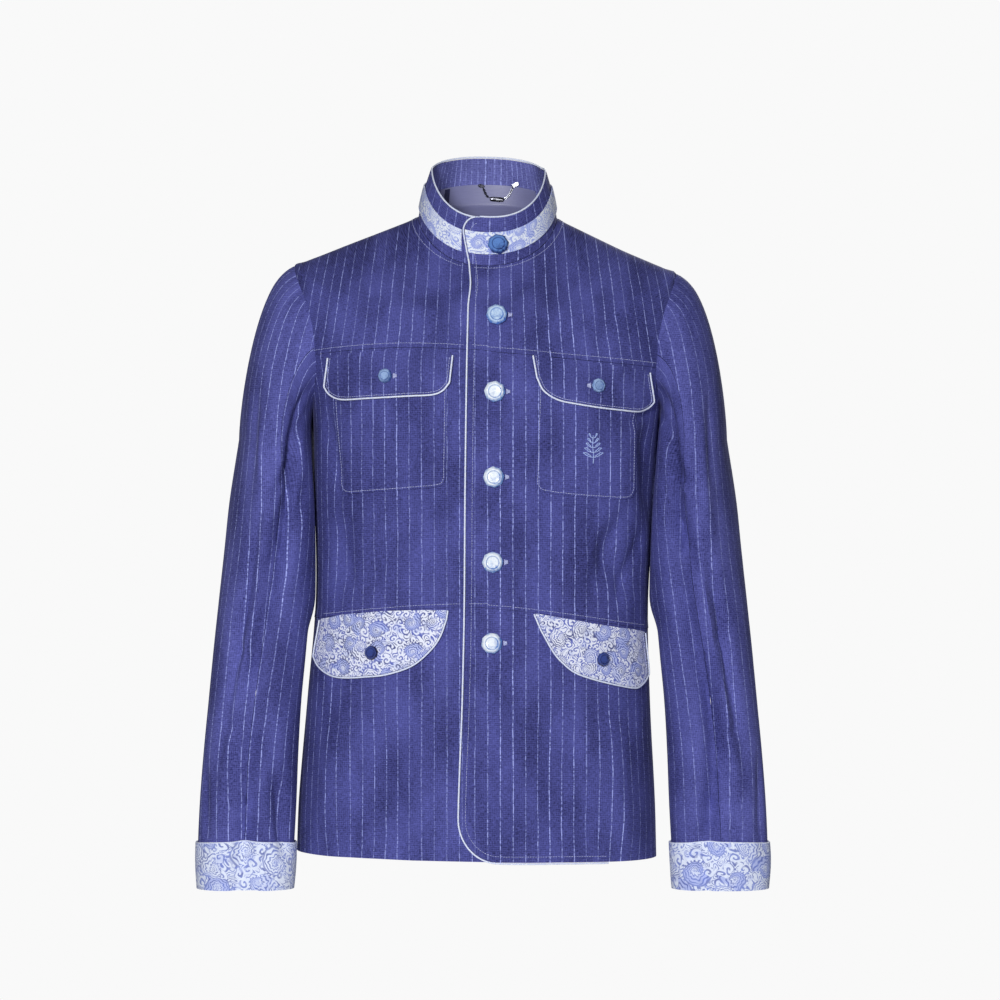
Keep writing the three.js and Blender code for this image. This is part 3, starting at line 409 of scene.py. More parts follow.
def normal_of(surface, u, v, u_step, v_step):
    """The outward normal of a surface whose u runs anticlockwise seen from above and v up."""
    across = surface(u + u_step, v) - surface(u - u_step, v)
    up = surface(u, v + v_step) - surface(u, v - v_step)
    return unit(np.cross(across, up))


def neck_normal(angle):
    below = normal_of(body_point, angle, np.full_like(angle, NECK_LEVEL - 4), 0.02, 3)
    above = normal_of(collar_base, angle, np.full_like(angle, 0.05), 0.02, 0.04)
    return unit(below + above)


def body_normal(angle, level):
    angle, level = np.broadcast_arrays(np.asarray(angle, float), np.asarray(level, float))
    normal = normal_of(body_point, angle, level, 0.02, 2)
    near = smooth_step(NECK_LEVEL - 26, NECK_LEVEL, level)[..., None]
    return unit(normal + (neck_normal(angle) - normal) * near)


def fold_height(folds, names, u, v):
    """How far the folds of a table move points that are at u, v on the cloth."""
    height = np.zeros(np.broadcast(u, v).shape)
    first, second, third, fourth = (folds[name] for name in names)
    for u1, v1, u2, v2, width, depth in zip(first, second, third, fourth, folds["width"], folds["depth"]):
        length = math.hypot(u2 - u1, v2 - v1)
        along = ((u - u1) * (u2 - u1) + (v - v1) * (v2 - v1)) / length**2
        aside = ((u - u1) * (v2 - v1) - (v - v1) * (u2 - u1)) / length
        fade = smooth_step(-FOLD_ENDS, FOLD_ENDS, along) * smooth_step(-FOLD_ENDS, FOLD_ENDS, 1 - along)
        height += depth * fade * np.exp(-((aside / width) ** 2))
    return height


def rows_where(table, column, value):
    chosen = table[column] == value
    return {name: values[chosen] for name, values in table.items()}


def body_fold_height(point):
    x, y, z = point[..., 0], point[..., 1], point[..., 2]
    names = ("x1", "z1", "x2", "z2")
    front = fold_height(rows_where(BODY_FOLDS, "back", 0), names, x, z)
    back = fold_height(rows_where(BODY_FOLDS, "back", 1), names, x, z)
    return FOLD_STRENGTH["body"] * smooth_step(10, 40, np.abs(y)) * np.where(y > 0, back, front)


def lap_lift(x):
    return LAP_LIFT * smooth_step(-LAP_END_X, -LAP_FULL_X, -np.asarray(x, float))


def cloth_point(angle, level, lift):
    base = body_point(angle, level)
    return base + body_normal(angle, level) * (lift + body_fold_height(base))[..., None]


def front_angle(level, x):
    """The angle on a ring where the front is at x."""
    ring = row_at(BODY, level)
    across = np.clip((x - ring["centre"]) / ring["half"], -1, 1)
    return -np.arccos(signed_power(across, ring["power"] / 2))


def side_angle(level, y, side):
    """The angle on a ring where the side, +1 for the wearer's left, is at y."""
    ring = row_at(BODY, level)
    reach = np.abs(y / np.where(y < 0, ring["yFront"], ring["yBack"]))
    from_side = np.sign(y) * np.arcsin(np.minimum(reach, 1) ** (ring["power"] / 2))
    return from_side if side > 0 else np.sign(y) * np.pi - from_side


def armhole_y(level, facing):
    """How far an armhole's edge lies from the side line at a level, in front or behind."""
    middle = (ARMPIT_LEVEL + SHOULDER_LEVEL) / 2
    off = np.minimum(np.abs(level - middle) / ((SHOULDER_LEVEL - ARMPIT_LEVEL) / 2), 1)
    width = ARMHOLE_FRONT if facing < 0 else ARMHOLE_BACK
    opened = width * (1 - off**ARMHOLE_POWER) ** (1 / ARMHOLE_POWER)
    return facing * np.maximum(opened, SEWN_GAP)


def front_edge_x(z):
    below = np.clip((HEM_CORNER["top"] - z) / HEM_CORNER["height"], 0, 1)
    return row_at(FRONT_EDGE, -z)["x"] + HEM_CORNER["width"] * (1 - np.sqrt(1 - below * below))


def waist_height(x):
    right = -430 - 14 * (np.minimum(x, 0) / 185) ** 2
    return np.where(x < 0, right, -431.5 - 24 * (np.maximum(x, 0) / 170) ** 1.3)


def yoke_height(x):
    off = np.minimum(np.abs(x), 190)
    right = -157 + 5 * np.sin(np.pi * off / 190) - 0.01 * np.abs(x)
    return np.where(x < 0, right, -158 - 0.08 * x)


def seam_level(angle_at, height_at, shift):
    """The levels at which lines angle_at(level) reach the height of a seam."""
    shape = np.shape(angle_at(np.float64(300.0)))
    low, high = np.full(shape, HEM_LEVEL - 6.0), np.full(shape, float(NECK_LEVEL))
    for _ in range(30):
        level = (low + high) / 2
        point = body_point(angle_at(level), level)
        under = point[..., 2] < height_at(point[..., 0]) + shift
        low, high = np.where(under, level, low), np.where(under, high, level)
    return (low + high) / 2


def front_spot(x, z, height=0.0, on_lap=False):
    """Points of the front at x and z, and their normals."""
    x, z = np.broadcast_arrays(np.asarray(x, float), np.asarray(z, float))
    level = seam_level(lambda at: front_angle(np.broadcast_to(at, x.shape), x), lambda _: z, 0)
    angle = front_angle(level, x)
    lap = lap_lift(x) if on_lap else 0.0
    return cloth_point(angle, level, height + lap), body_normal(angle, level)


def arc_table(facing):
    """How long each ring is from its front or back centre round to an angle, on the level."""
    turns = np.linspace(0, np.pi, 181)
    levels = np.linspace(HEM_LEVEL - 6, NECK_LEVEL, 97)
    points = body_point(facing * np.pi / 2 - facing * turns[None, :], levels[:, None])
    steps = np.linalg.norm(np.diff(points[..., :2], axis=1), axis=-1)
    lengths = np.concatenate([np.zeros((len(levels), 1)), np.cumsum(steps, axis=1)], axis=1)
    return turns, levels, lengths


ARCS = {-1: arc_table(-1), 1: arc_table(1)}


def body_u(angle, level, facing):
    """Millimetres across the cloth from x = 0, along the ring on the level."""
    angle, level = np.broadcast_arrays(angle, level)
    point = body_point(angle, level)
    height = np.maximum(point[..., 2] - body_point(angle, np.float64(GRAIN_LEVEL))[..., 2], 0)
    ring = row_at(BODY, GRAIN_LEVEL)
    x = point[..., 0] * (1 + GRAIN_LEAN * height)
    most = ring["half"] * GRAIN_SPREAD
    held = np.clip(x, ring["centre"] - most, ring["centre"] + most)
    upright = ring_u(facing * -front_angle(GRAIN_LEVEL, held), np.full(level.shape, GRAIN_LEVEL), facing)
    upright = upright + (x - held) * GRAIN_STRETCH
    return np.where(level > GRAIN_LEVEL, upright, ring_u(angle, np.minimum(level, GRAIN_LEVEL), facing))


def ring_u(angle, level, facing):
    """The same on a ring itself, by its length from its front or back centre."""
    turns, levels, lengths = ARCS[facing]
    off = angle - facing * np.pi / 2
    off = (off + np.pi) % (2 * np.pi) - np.pi
    turn = np.abs(off) / turns[1]
    row = (level - levels[0]) / (levels[1] - levels[0])
    i = np.clip(np.floor(row).astype(int), 0, len(levels) - 2)
    j = np.clip(np.floor(turn).astype(int), 0, len(turns) - 2)
    a, b = row - i, turn - j
    arc = (
        lengths[i, j] * (1 - a) * (1 - b)
        + lengths[i + 1, j] * a * (1 - b)
        + lengths[i, j + 1] * (1 - a) * b
        + lengths[i + 1, j + 1] * a * b
    )
    return row_at(BODY, level)["centre"] - facing * np.sign(off) * arc


# Meshes
def new_piece(name, points, faces, uv=None, sharp=50):
    """An object made from points in millimetres, smooth but for its hard edges."""
    mesh = bpy.data.meshes.new(name)
    mesh.from_pydata((np.asarray(points, float) * MM).tolist(), [], [list(map(int, face)) for face in faces])
    mesh.polygons.foreach_set("use_smooth", [True] * len(mesh.polygons))
    if uv is not None:
        layer = mesh.uv_layers.new(name="cloth")
        corner = np.zeros(len(mesh.loops), int)
        mesh.loops.foreach_get("vertex_index", corner)
        layer.data.foreach_set("uv", (np.asarray(uv, float)[corner] * MM).ravel())
    mesh.update()
    mesh.set_sharp_from_angle(angle=math.radians(sharp))
    piece = bpy.data.objects.new(name, mesh)
    bpy.context.scene.collection.objects.link(piece)
    return piece


def wall_faces(rows, columns, is_tube):
    """Quads of a closed wall between an outer grid and an inner grid of points."""

    def at(row, column, side):
        return side * rows * columns + row * columns + column % columns

    spans = columns if is_tube else columns - 1
    faces = []
    for row in range(rows - 1):
        for column in range(spans):
            near, far = column, column + 1
            faces.append((at(row, near, 0), at(row, far, 0), at(row + 1, far, 0), at(row + 1, near, 0)))
            faces.append((at(row, near, 1), at(row + 1, near, 1), at(row + 1, far, 1), at(row, far, 1)))
    top = rows - 1
    for column in range(spans):
        near, far = column, column + 1
        faces.append((at(0, far, 0), at(0, near, 0), at(0, near, 1), at(0, far, 1)))
        faces.append((at(top, near, 0), at(top, far, 0), at(top, far, 1), at(top, near, 1)))
    if not is_tube:
        end = columns - 1
        for row in range(rows - 1):
            faces.append((at(row, 0, 0), at(row + 1, 0, 0), at(row + 1, 0, 1), at(row, 0, 1)))
            faces.append((at(row + 1, end, 0), at(row, end, 0), at(row, end, 1), at(row + 1, end, 1)))
    return faces


def grid_area(grid, is_tube):
    """The area in square metres of a grid of points, and its longest row and column in metres."""
    closed = np.concatenate([grid, grid[:, :1]], axis=1) if is_tube else grid
    a, b, c, d = closed[:-1, :-1], closed[:-1, 1:], closed[1:, 1:], closed[1:, :-1]
    halves = [np.linalg.norm(np.cross(b - a, c - a), axis=-1), np.linalg.norm(np.cross(c - a, d - a), axis=-1)]
    across = np.linalg.norm(np.diff(closed, axis=1), axis=-1).sum(axis=1).max()
    along = np.linalg.norm(np.diff(closed, axis=0), axis=-1).sum(axis=0).max()
    return sum(half.sum() for half in halves) / 2 * MM * MM, across * MM, along * MM


FLAT_SIZES = {}


def cloth_piece(name, outer, inner, uv, is_tube=False, flip=False):
    """A closed sheet of cloth between two grids of points, which stands for its node."""
    rows, columns = outer.shape[:2]
    faces = wall_faces(rows, columns, is_tube)
    if flip:
        faces = [face[::-1] for face in faces]
    points = np.concatenate([outer.reshape(-1, 3), inner.reshape(-1, 3)])
    both = np.concatenate([uv.reshape(-1, 2), uv.reshape(-1, 2)])
    piece = new_piece(name + "_cloth", points, faces, both)
    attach(piece, "root")
    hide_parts(name)
    area, across, along = grid_area((outer + inner) / 2, is_tube)
    FLAT_SIZES[name] = (round(across, 3), round(along, 3), round(area, 4))
    min(area, across * along)
    return piece


def cord_mesh(points, normals, radius, sides=8):
    """Points and faces of a round cord along points, closed at both ends."""
    along = unit(np.gradient(points, axis=0))
    aside = unit(np.cross(along, normals))
    out = np.cross(aside, along)
    turns = 2 * np.pi * (np.arange(sides) + 0.5) / sides
    radius = np.broadcast_to(radius, (len(points),))[:, None, None]
    rings = points[:, None] + radius * (out[:, None] * np.cos(turns)[:, None] + aside[:, None] * np.sin(turns)[:, None])
    faces = []
    for ring in range(len(points) - 1):
        for side in range(sides):
            a, b = ring * sides + side, ring * sides + (side + 1) % sides
            faces.append((a, b, b + sides, a + sides))
    faces.append(tuple(range(sides))[::-1])
    last = (len(points) - 1) * sides
    faces.append(tuple(range(last, last + sides)))
    return rings.reshape(-1, 3), faces


def joined(parts):
    """Many points and faces as one mesh's points and faces."""
    points, faces, start = [], [], 0
    for part_points, part_faces in parts:
        points.append(part_points)
        faces.extend(tuple(index + start for index in face) for face in part_faces)
        start += len(part_points)
    return np.concatenate(points), faces


def trim_piece(name, parts, slot, *replaced, sharp=50):
    points, faces = joined(parts)
    piece = new_piece(name, points, faces, sharp=sharp)
    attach(piece, "root")
    if replaced:
        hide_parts(*replaced)
    return piece


def resample(points, normals, step):
    """Points evenly along a line, with their normals, and how far along each is."""
    lengths = np.concatenate([[0], np.cumsum(np.linalg.norm(np.diff(points, axis=0), axis=1))])
    at = np.arange(0, lengths[-1] + 1e-6, step)
    spread = [np.stack([np.interp(at, lengths, values[:, k]) for k in range(3)], axis=1) for values in (points, normals)]
    return spread[0], unit(spread[1]), at


def stitch_parts(points, normals, generator, length=2.5, pitch=2.9, radius=0.32):
    """A row of single stitches along a line: short thread bumps that dip at both ends."""
    spots, ups, _ = resample(points, normals, pitch / 2)
    parts = []
    for index in range(1, len(spots) - 1, 2):
        along = unit(spots[index + 1] - spots[index - 1])
        reach = along * length / 2 * generator.uniform(0.9, 1.08)
        centre = spots[index] + np.cross(along, ups[index]) * generator.uniform(-0.15, 0.15)
        arch = [(-1, -0.25), (-0.6, 0.2), (0, 0.32), (0.6, 0.2), (1, -0.25)]
        path = np.array([centre + reach * way + ups[index] * rise for way, rise in arch])
        thick = radius * np.array([0.6, 1, 1, 1, 0.6])
        parts.append(cord_mesh(path, np.tile(ups[index], (5, 1)), thick, 4))
    return parts


# Materials
class Nodes:
    """Short calls that add nodes to a material's tree and return their output sockets."""

    def __init__(self, name):
        self.material = bpy.data.materials.new(name)
        self.material.use_nodes = True
        self.tree = self.material.node_tree
        self.shader = next(node for node in self.tree.nodes if node.type == "BSDF_PRINCIPLED")

    def add(self, kind, inputs, **settings):
        node = self.tree.nodes.new(kind)
        for key, value in settings.items():
            setattr(node, key, value)
        for key, value in inputs.items():
            if isinstance(value, bpy.types.NodeSocket):
                self.tree.links.new(value, node.inputs[key])
            else:
                node.inputs[key].default_value = value
        return node

    def math(self, operation, *values, clamp=False):
        return self.add("ShaderNodeMath", dict(enumerate(values)), operation=operation, use_clamp=clamp).outputs[0]

    def uv(self):
        made = self.add("ShaderNodeUVMap", {}, uv_map="cloth").outputs[0]
        parts = self.add("ShaderNodeSeparateXYZ", {0: made})
        return parts.outputs[0], parts.outputs[1]

    def place(self):
        return self.add("ShaderNodeTexCoord", {}).outputs["Object"]

    def vector(self, x, y, z=0.0):
        return self.add("ShaderNodeCombineXYZ", {0: x, 1: y, 2: z}).outputs[0]

    def scaled(self, u, v, across, along, w=0.0):
        return self.vector(self.math("MULTIPLY", u, across), self.math("MULTIPLY", v, along), w)

    def noise(self, vector, scale=1.0, detail=2.0, roughness=0.5, distortion=0.0):
        inputs = {"Vector": vector, "Scale": scale, "Detail": detail, "Roughness": roughness, "Distortion": distortion}
        return self.add("ShaderNodeTexNoise", inputs).outputs["Fac"]

    def white(self, vector):
        return self.add("ShaderNodeTexWhiteNoise", {"Vector": vector}, noise_dimensions="3D").outputs["Value"]

    def step(self, value, low, high, to_low=0.0, to_high=1.0):
        inputs = {"Value": value, "From Min": low, "From Max": high, "To Min": to_low, "To Max": to_high}
        return self.add("ShaderNodeMapRange", inputs, interpolation_type="SMOOTHSTEP").outputs[0]

    def mix(self, share, low, high):
        node = self.tree.nodes.new("ShaderNodeMix")
        node.data_type = "RGBA"
        sockets = [node.inputs[0]] + [i for i in node.inputs if i.type == "RGBA"]
        for socket, value in zip(sockets, (share, low, high)):
            if isinstance(value, bpy.types.NodeSocket):
                self.tree.links.new(value, socket)
            else:
                socket.default_value = value
        return next(o for o in node.outputs if o.type == "RGBA")

    def bump(self, height, strength, distance):
        inputs = {"Height": height, "Strength": strength, "Distance": distance}
        self.link(self.add("ShaderNodeBump", inputs).outputs[0], "Normal")

    def link(self, value, name):
        self.tree.links.new(value, self.shader.inputs[name])

    def set(self, **values):
        for name, value in values.items():
            self.shader.inputs[name.replace("_", " ")].default_value = value
        return self


def colour(red, green, blue):
    """A colour given in 0 to 255 as it is seen, as the shader's own linear colour."""
    return (*(((c / 255 + 0.055) / 1.055) ** 2.4 if c > 10 else c / 3295 for c in (red, green, blue)), 1.0)


def striped_material(name, phase, dark=(28, 30, 84), light=(100, 104, 184), thread=(176, 186, 255), pitch=STRIPE_PITCH):
    """Blue cloth of crossed threads with thin pale stripes of slubby, broken thread."""
    n = Nodes(name)
    u, v = n.uv()
    wander = n.math("MULTIPLY", n.math("SUBTRACT", n.noise(n.scaled(u, v, 22.0, 40.0)), 0.5), 0.0022)
    across = n.math("DIVIDE", n.math("SUBTRACT", n.math("ADD", u, wander), phase * MM), pitch * MM)
    number = n.math("ROUND", across)
    off = n.math("MULTIPLY", n.math("ABSOLUTE", n.math("SUBTRACT", across, number)), pitch)
    own = n.white(n.vector(number, 3.7, 1.3))
    dash = n.step(n.noise(n.vector(n.math("MULTIPLY", v, 420.0), number, 0.5), detail=1.0), 0.36, 0.6)
    slow = n.step(n.noise(n.vector(n.math("MULTIPLY", v, 16.0), n.math("MULTIPLY", number, 5.3), 2.0)), 0.3, 0.7)
    width = n.math("ADD", n.math("MULTIPLY", dash, 0.26), 0.16)
    line = n.step(n.math("SUBTRACT", off, width), 0.3, -0.1)
    bright = n.math("MULTIPLY", n.step(dash, 0.0, 1.0, 0.4, 1.0), n.step(slow, 0.0, 1.0, 0.5, 1.0))
    bright = n.math("MULTIPLY", bright, n.step(own, 0.0, 1.0, 0.5, 1.0))
    thread_share = n.math("MULTIPLY", line, bright, clamp=True)
    weft = n.noise(n.scaled(u, v, 240.0, 1500.0), detail=1.0)
    warp = n.noise(n.scaled(u, v, 1500.0, 260.0), detail=1.0)
    slub = n.step(n.noise(n.scaled(u, v, 70.0, 900.0), detail=0.0), 0.56, 0.8)
    rows = n.math("SINE", n.math("MULTIPLY", v, 2 * math.pi / 0.0021))
    ends = n.math("SINE", n.math("MULTIPLY", u, 2 * math.pi / 0.0019))
    grid = n.math("MULTIPLY_ADD", n.math("ADD", rows, ends), 0.045, 0.0)
    weave = n.math("ADD", n.math("ADD", n.math("MULTIPLY", weft, 0.55), n.math("MULTIPLY", warp, 0.45)), grid)
    # Painted light and shade: broad soft patches lighten and darken the cloth's colour like soft light over its folds.
    painted_light_patches = n.step(n.noise(n.scaled(u, v, 24.0, 11.0), detail=3.0), 0.25, 0.75, 0.0, 0.42)
    tone = n.math("ADD", n.math("ADD", n.step(weave, 0.26, 0.74, -0.08, 0.62), painted_light_patches), n.math("MULTIPLY", slub, 0.16))
    base = n.mix(tone, colour(*dark), colour(*light))
    n.link(n.mix(thread_share, base, colour(*thread)), "Base Color")
    raised = n.math("ADD", n.math("ADD", weave, n.math("MULTIPLY", thread_share, 0.6)), n.math("MULTIPLY", slub, 0.3))
    rumple = n.noise(n.scaled(u, v, 26.0, 13.0), detail=2.0, distortion=0.6)
    raised = n.math("ADD", raised, n.math("MULTIPLY", rumple, 5.0))
    n.bump(raised, 0.7, 0.0004)
    n.set(Roughness=0.85, Sheen_Weight=0.03, Sheen_Roughness=0.4)
    n.shader.inputs["Specular IOR Level"].default_value = 0.25
    return n.material


def drops(n, u, v, size):
    """Curled drops scattered on the cloth: how far out in its own drop a point is, and where round it."""
    plane = n.scaled(u, v, 1 / (size * MM), 1 / (size * MM))
    inputs = {"Vector": plane, "Scale": 1.0, "Randomness": 0.72}
    cells = n.add("ShaderNodeTexVoronoi", inputs, voronoi_dimensions="2D", feature="F1")
    off = n.add("ShaderNodeVectorMath", {0: plane, 1: cells.outputs["Position"]}, operation="SUBTRACT")
    parts = n.add("ShaderNodeSeparateXYZ", {0: off.outputs[0]})
    own = n.add("ShaderNodeSeparateColor", {0: cells.outputs["Color"]})
    flip = n.math("SUBTRACT", n.math("MULTIPLY", n.math("ROUND", own.outputs[1]), 2.0), 1.0)
    angle = n.math("ARCTAN2", n.math("MULTIPLY", parts.outputs[1], flip), parts.outputs[0])
    lap = n.math("FRACT", n.math("ADD", n.math("DIVIDE", angle, 2 * math.pi), own.outputs[0]))
    edge = n.math("MULTIPLY_ADD", n.math("POWER", lap, 1.5), 0.34, 0.2)
    return n.math("DIVIDE", cells.outputs["Distance"], edge), lap, own.outputs[2], cells.outputs["Distance"]


def waves(n, value, count, low=0.05, high=0.6):
    """Soft-edged lines, count of them for each whole step of a value."""
    return n.step(n.math("SINE", n.math("MULTIPLY", value, 2 * math.pi * count)), low, high)


def paisley_material(name, size, strength, pale=(236, 240, 255), middle=(176, 188, 240), line=(84, 96, 172), dark=(40, 42, 104), darkness=0.7):
    """Pale cloth with curled drops in rows of outline, fringed, over scrolls and wavy lines."""
    n = Nodes(name)
    u, v = n.uv()
    bend = n.noise(n.scaled(u, v, 70.0, 70.0), detail=1.0)
    push = n.math("MULTIPLY", n.math("SUBTRACT", bend, 0.5), size * 0.3 * MM)
    u, v = n.math("ADD", u, push), n.math("SUBTRACT", v, push)
    drop, lap, own, _ = drops(n, u, v, size)
    curl, curl_lap, _, curl_out = drops(n, n.math("ADD", u, 0.31), v, size * 0.42)
    scallop = n.math("SINE", n.math("MULTIPLY", lap, 2 * math.pi * 10))
    rings = waves(n, n.math("ADD", drop, n.math("MULTIPLY", scallop, 0.05)), 3.9)
    fringe = n.math("MULTIPLY", waves(n, lap, 19.0, -0.3, 0.3), n.step(drop, 1.36, 1.22))
    spiral = waves(n, n.math("ADD", n.math("MULTIPLY", curl_out, 2.6), curl_lap), 1.0)
    drift = waves(n, n.noise(n.scaled(u, v, 130.0, 130.0), detail=0.0), 6.0)
    ground = n.math("ADD", n.math("MULTIPLY", spiral, n.step(curl_out, 0.46, 0.4)), n.math("MULTIPLY", drift, n.step(curl_out, 0.4, 0.46)))
    outside = n.math("ADD", n.math("MULTIPLY", fringe, n.step(drop, 1.34, 1.24)), n.math("MULTIPLY", ground, n.step(drop, 1.24, 1.34)))
    inside = n.step(drop, 1.1, 1.02)
    lines = n.math("ADD", n.math("MULTIPLY", rings, inside), n.math("MULTIPLY", outside, n.step(drop, 1.02, 1.1)))
    rim = n.step(n.math("ABSOLUTE", n.math("SUBTRACT", drop, 1.04)), 0.1, 0.03)
    worn = n.step(n.noise(n.scaled(u, v, 210.0, 210.0), detail=1.0), 0.28, 0.52, 0.35, 1.0)
    lines = n.math("MAXIMUM", n.math("MULTIPLY", lines, worn), n.math("MULTIPLY", rim, 0.85), clamp=True)
    wash = n.math("MULTIPLY", n.math("MULTIPLY", inside, n.step(own, 0.3, 0.5)), n.step(drop, 0.2, 0.6, 0.2, 0.9))
    base = n.mix(n.math("MAXIMUM", wash, n.step(bend, 0.56, 0.7, 0.0, 0.5)), colour(*pale), colour(*middle))
    ink = n.mix(n.step(n.noise(n.scaled(u, v, 55.0, 75.0)), 0.46, 0.6, 0.0, darkness), colour(*line), colour(*dark))
    printed = n.mix(n.math("MULTIPLY", lines, strength), base, ink)
    weft = n.noise(n.scaled(u, v, 300.0, 1200.0), detail=1.0)
    warp = n.noise(n.scaled(u, v, 1200.0, 300.0), detail=1.0)
    weave = n.math("ADD", weft, warp)
    n.link(n.mix(n.step(weave, 0.7, 1.3, 0.12, 0.0), printed, colour(130, 142, 196)), "Base Color")
    n.bump(weave, 0.3, 0.0003)
    n.set(Roughness=0.78, Sheen_Weight=0.08)
    n.shader.inputs["Specular IOR Level"].default_value = 0.25
    return n.material


def thread_material(name, low, high, roughness=0.6):
    n = Nodes(name)
    place = n.place()
    twist = n.noise(place, 900.0, 1.0)
    n.link(n.mix(n.step(twist, 0.35, 0.65), colour(*low), colour(*high)), "Base Color")
    n.bump(n.noise(place, 1500.0, 1.0), 0.4, 0.0003)
    n.set(Roughness=roughness)
    return n.material


def satin_material(name, low, high):
    n = Nodes(name)
    u, v = n.uv()
    ribs = n.noise(n.scaled(u, v, 90.0, 1600.0), detail=1.0)
    cloud = n.noise(n.scaled(u, v, 20.0, 30.0), detail=2.0)
    n.link(n.mix(n.math("MULTIPLY_ADD", ribs, 0.5, n.math("MULTIPLY", cloud, 0.5)), colour(*low), colour(*high)), "Base Color")
    n.bump(ribs, 0.25, 0.0003)
    n.set(Roughness=0.42, Sheen_Weight=0.2)
    return n.material


def pearl_material(name, rim, middle, glint):
    """Layered shell: cloudy colour under a clear, hard gloss, with painted shade that deepens the colour towards the
    rim and in a ring at the well's edge, and painted light towards the upper left.
    """
    n = Nodes(name)
    x, y = n.uv()
    place = n.place()
    cloud = n.noise(place, 120.0, 3.0, 0.55, 1.2)
    layers = n.noise(place, 330.0, 1.0, 0.5, 2.0)
    out = n.math("SQRT", n.math("ADD", n.math("MULTIPLY", x, x), n.math("MULTIPLY", y, y)))
    # Painted light: lighter towards the upper left, as if lit from there. Towards the rim the colour turns to the rim
    # colour, as painted shade.
    painted_light_side = n.math("ADD", n.math("MULTIPLY", x, -0.35), n.math("MULTIPLY", y, 0.35))
    share = n.math("ADD", n.step(out, 1.0, 0.7), n.math("ADD", painted_light_side, n.step(cloud, 0.35, 0.65, -0.35, 0.25)), clamp=True)
    # Painted shade: a darker ring at the edge of the shallow well.
    well = n.step(n.math("ABSOLUTE", n.math("SUBTRACT", out, 0.58)), 0.1, 0.02, 0.0, 0.55)
    share = n.math("SUBTRACT", share, well, clamp=True)
    base = n.mix(share, colour(*rim), colour(*middle))
    n.link(n.mix(n.step(layers, 0.54, 0.7, 0.0, 0.65), base, colour(*glint)), "Base Color")
    n.link(n.step(layers, 0.3, 0.7, 0.14, 0.28), "Roughness")
    n.bump(cloud, 0.2, 0.0008)
    n.set(Coat_Weight=0.6, Coat_Roughness=0.06)
    return n.material


def metal_material(name, low, high, roughness_low, roughness_high):
    n = Nodes(name)
    place = n.place()
    wear = n.noise(place, 420.0, 3.0)
    n.link(n.mix(n.step(wear, 0.35, 0.65), colour(*low), colour(*high)), "Base Color")
    n.link(n.step(wear, 0.3, 0.7, roughness_low, roughness_high), "Roughness")
    n.bump(wear, 0.2, 0.0002)
    n.set(Metallic=1.0)
    return n.material


def clothe(piece, *materials):
    for material in materials:
        piece.data.materials.append(material)
    return piece


# Pieces of the body
def body_panel(name, start, end, rows, columns, facing, low_seam=None, high_seam=None, lift=None, ledge=0.0):
    """A panel whose columns run between two angle lines and whose rows run between two seams."""
    shares = np.linspace(0, 1, columns + 1)

    def angle_at(level):
        level = np.broadcast_to(level, shares.shape)
        return start(level) + (end(level) - start(level)) * shares

    low = seam_level(angle_at, low_seam, SEAM_GAP / 2) if low_seam else np.full(shares.shape, float(HEM_LEVEL))
    top = NECK_LEVEL - SEAM_GAP / 2
    high = seam_level(angle_at, high_seam, -SEAM_GAP / 2) if high_seam else np.full(shares.shape, top)
    ways = np.linspace(0, 1, rows + 1)
    level = low + (high - low) * ways[:, None]
    edges = start(level), end(level)
    angle = edges[0] + (edges[1] - edges[0]) * shares
    raised = lift(body_point(angle, level)[..., 0]) if lift else np.zeros(angle.shape)
    raised = raised + ledge * np.exp(-((level - low) / 5.0) ** 2) * smooth_step(0, 0.03, shares) * smooth_step(1, 0.97, shares)
    outer, inner = (cloth_point(angle, level, raised - depth) for depth in (0.0, WALL))
    uv = np.stack([body_u(angle, level, facing), level], axis=-1)
    piece = cloth_piece(name, outer, inner, uv)
    return piece


def right_side(level):
    return side_angle(level, armhole_y(level, -1), -1)


def left_side(level):
    return side_angle(level, armhole_y(level, -1), 1)


def under_edge(level):
    return front_angle(level, UNDER_FRONT_X)


def over_edge(level):
    height = body_point(np.full(np.shape(level), -np.pi / 2), level)[..., 2]
    return front_angle(level, front_edge_x(height))


def fronts(cloth_right, cloth_left):
    sizes = {"skirt": 72, "chest": 72, "yoke": 56}
    cuts = [
        ("skirt", {"high_seam": waist_height}),
        ("chest", {"low_seam": waist_height, "high_seam": yoke_height, "ledge": 0.5}),
        ("yoke", {"low_seam": yoke_height, "ledge": 0.9}),
    ]
    for cut, seams in cuts:
        for name, start, end, lift, material in (
            (f"front_{cut}_right", right_side, under_edge, None, cloth_right),
            (f"front_{cut}_left", over_edge, left_side, lap_lift, cloth_left),
        ):
            piece = body_panel(name, start, end, sizes[cut], 60, -1, lift=lift, **seams)
            clothe(piece, material)


def back(material):
    def start(level):
        return side_angle(level, armhole_y(level, 1), 1)

    def end(level):
        return side_angle(level, armhole_y(level, 1), -1)

    clothe(body_panel("back", start, end, 170, 110, 1), material)


# Sleeves. The angle is 0 outside, 90 degrees in front, 180 under the arm and 270 behind.
def armhole_point(angle, side):
    bend = 2 / ARMHOLE_POWER
    middle = (ARMPIT_LEVEL + SHOULDER_LEVEL) / 2
    level = middle + (SHOULDER_LEVEL - ARMPIT_LEVEL) / 2 * signed_power(np.cos(angle), bend)
    ahead = signed_power(np.sin(angle), bend)
    y = -ahead * np.where(ahead > 0, ARMHOLE_FRONT, ARMHOLE_BACK)
    y = np.where(np.abs(y) < 0.01, -0.01, y)
    return body_point(side_angle(level, y, side), level)


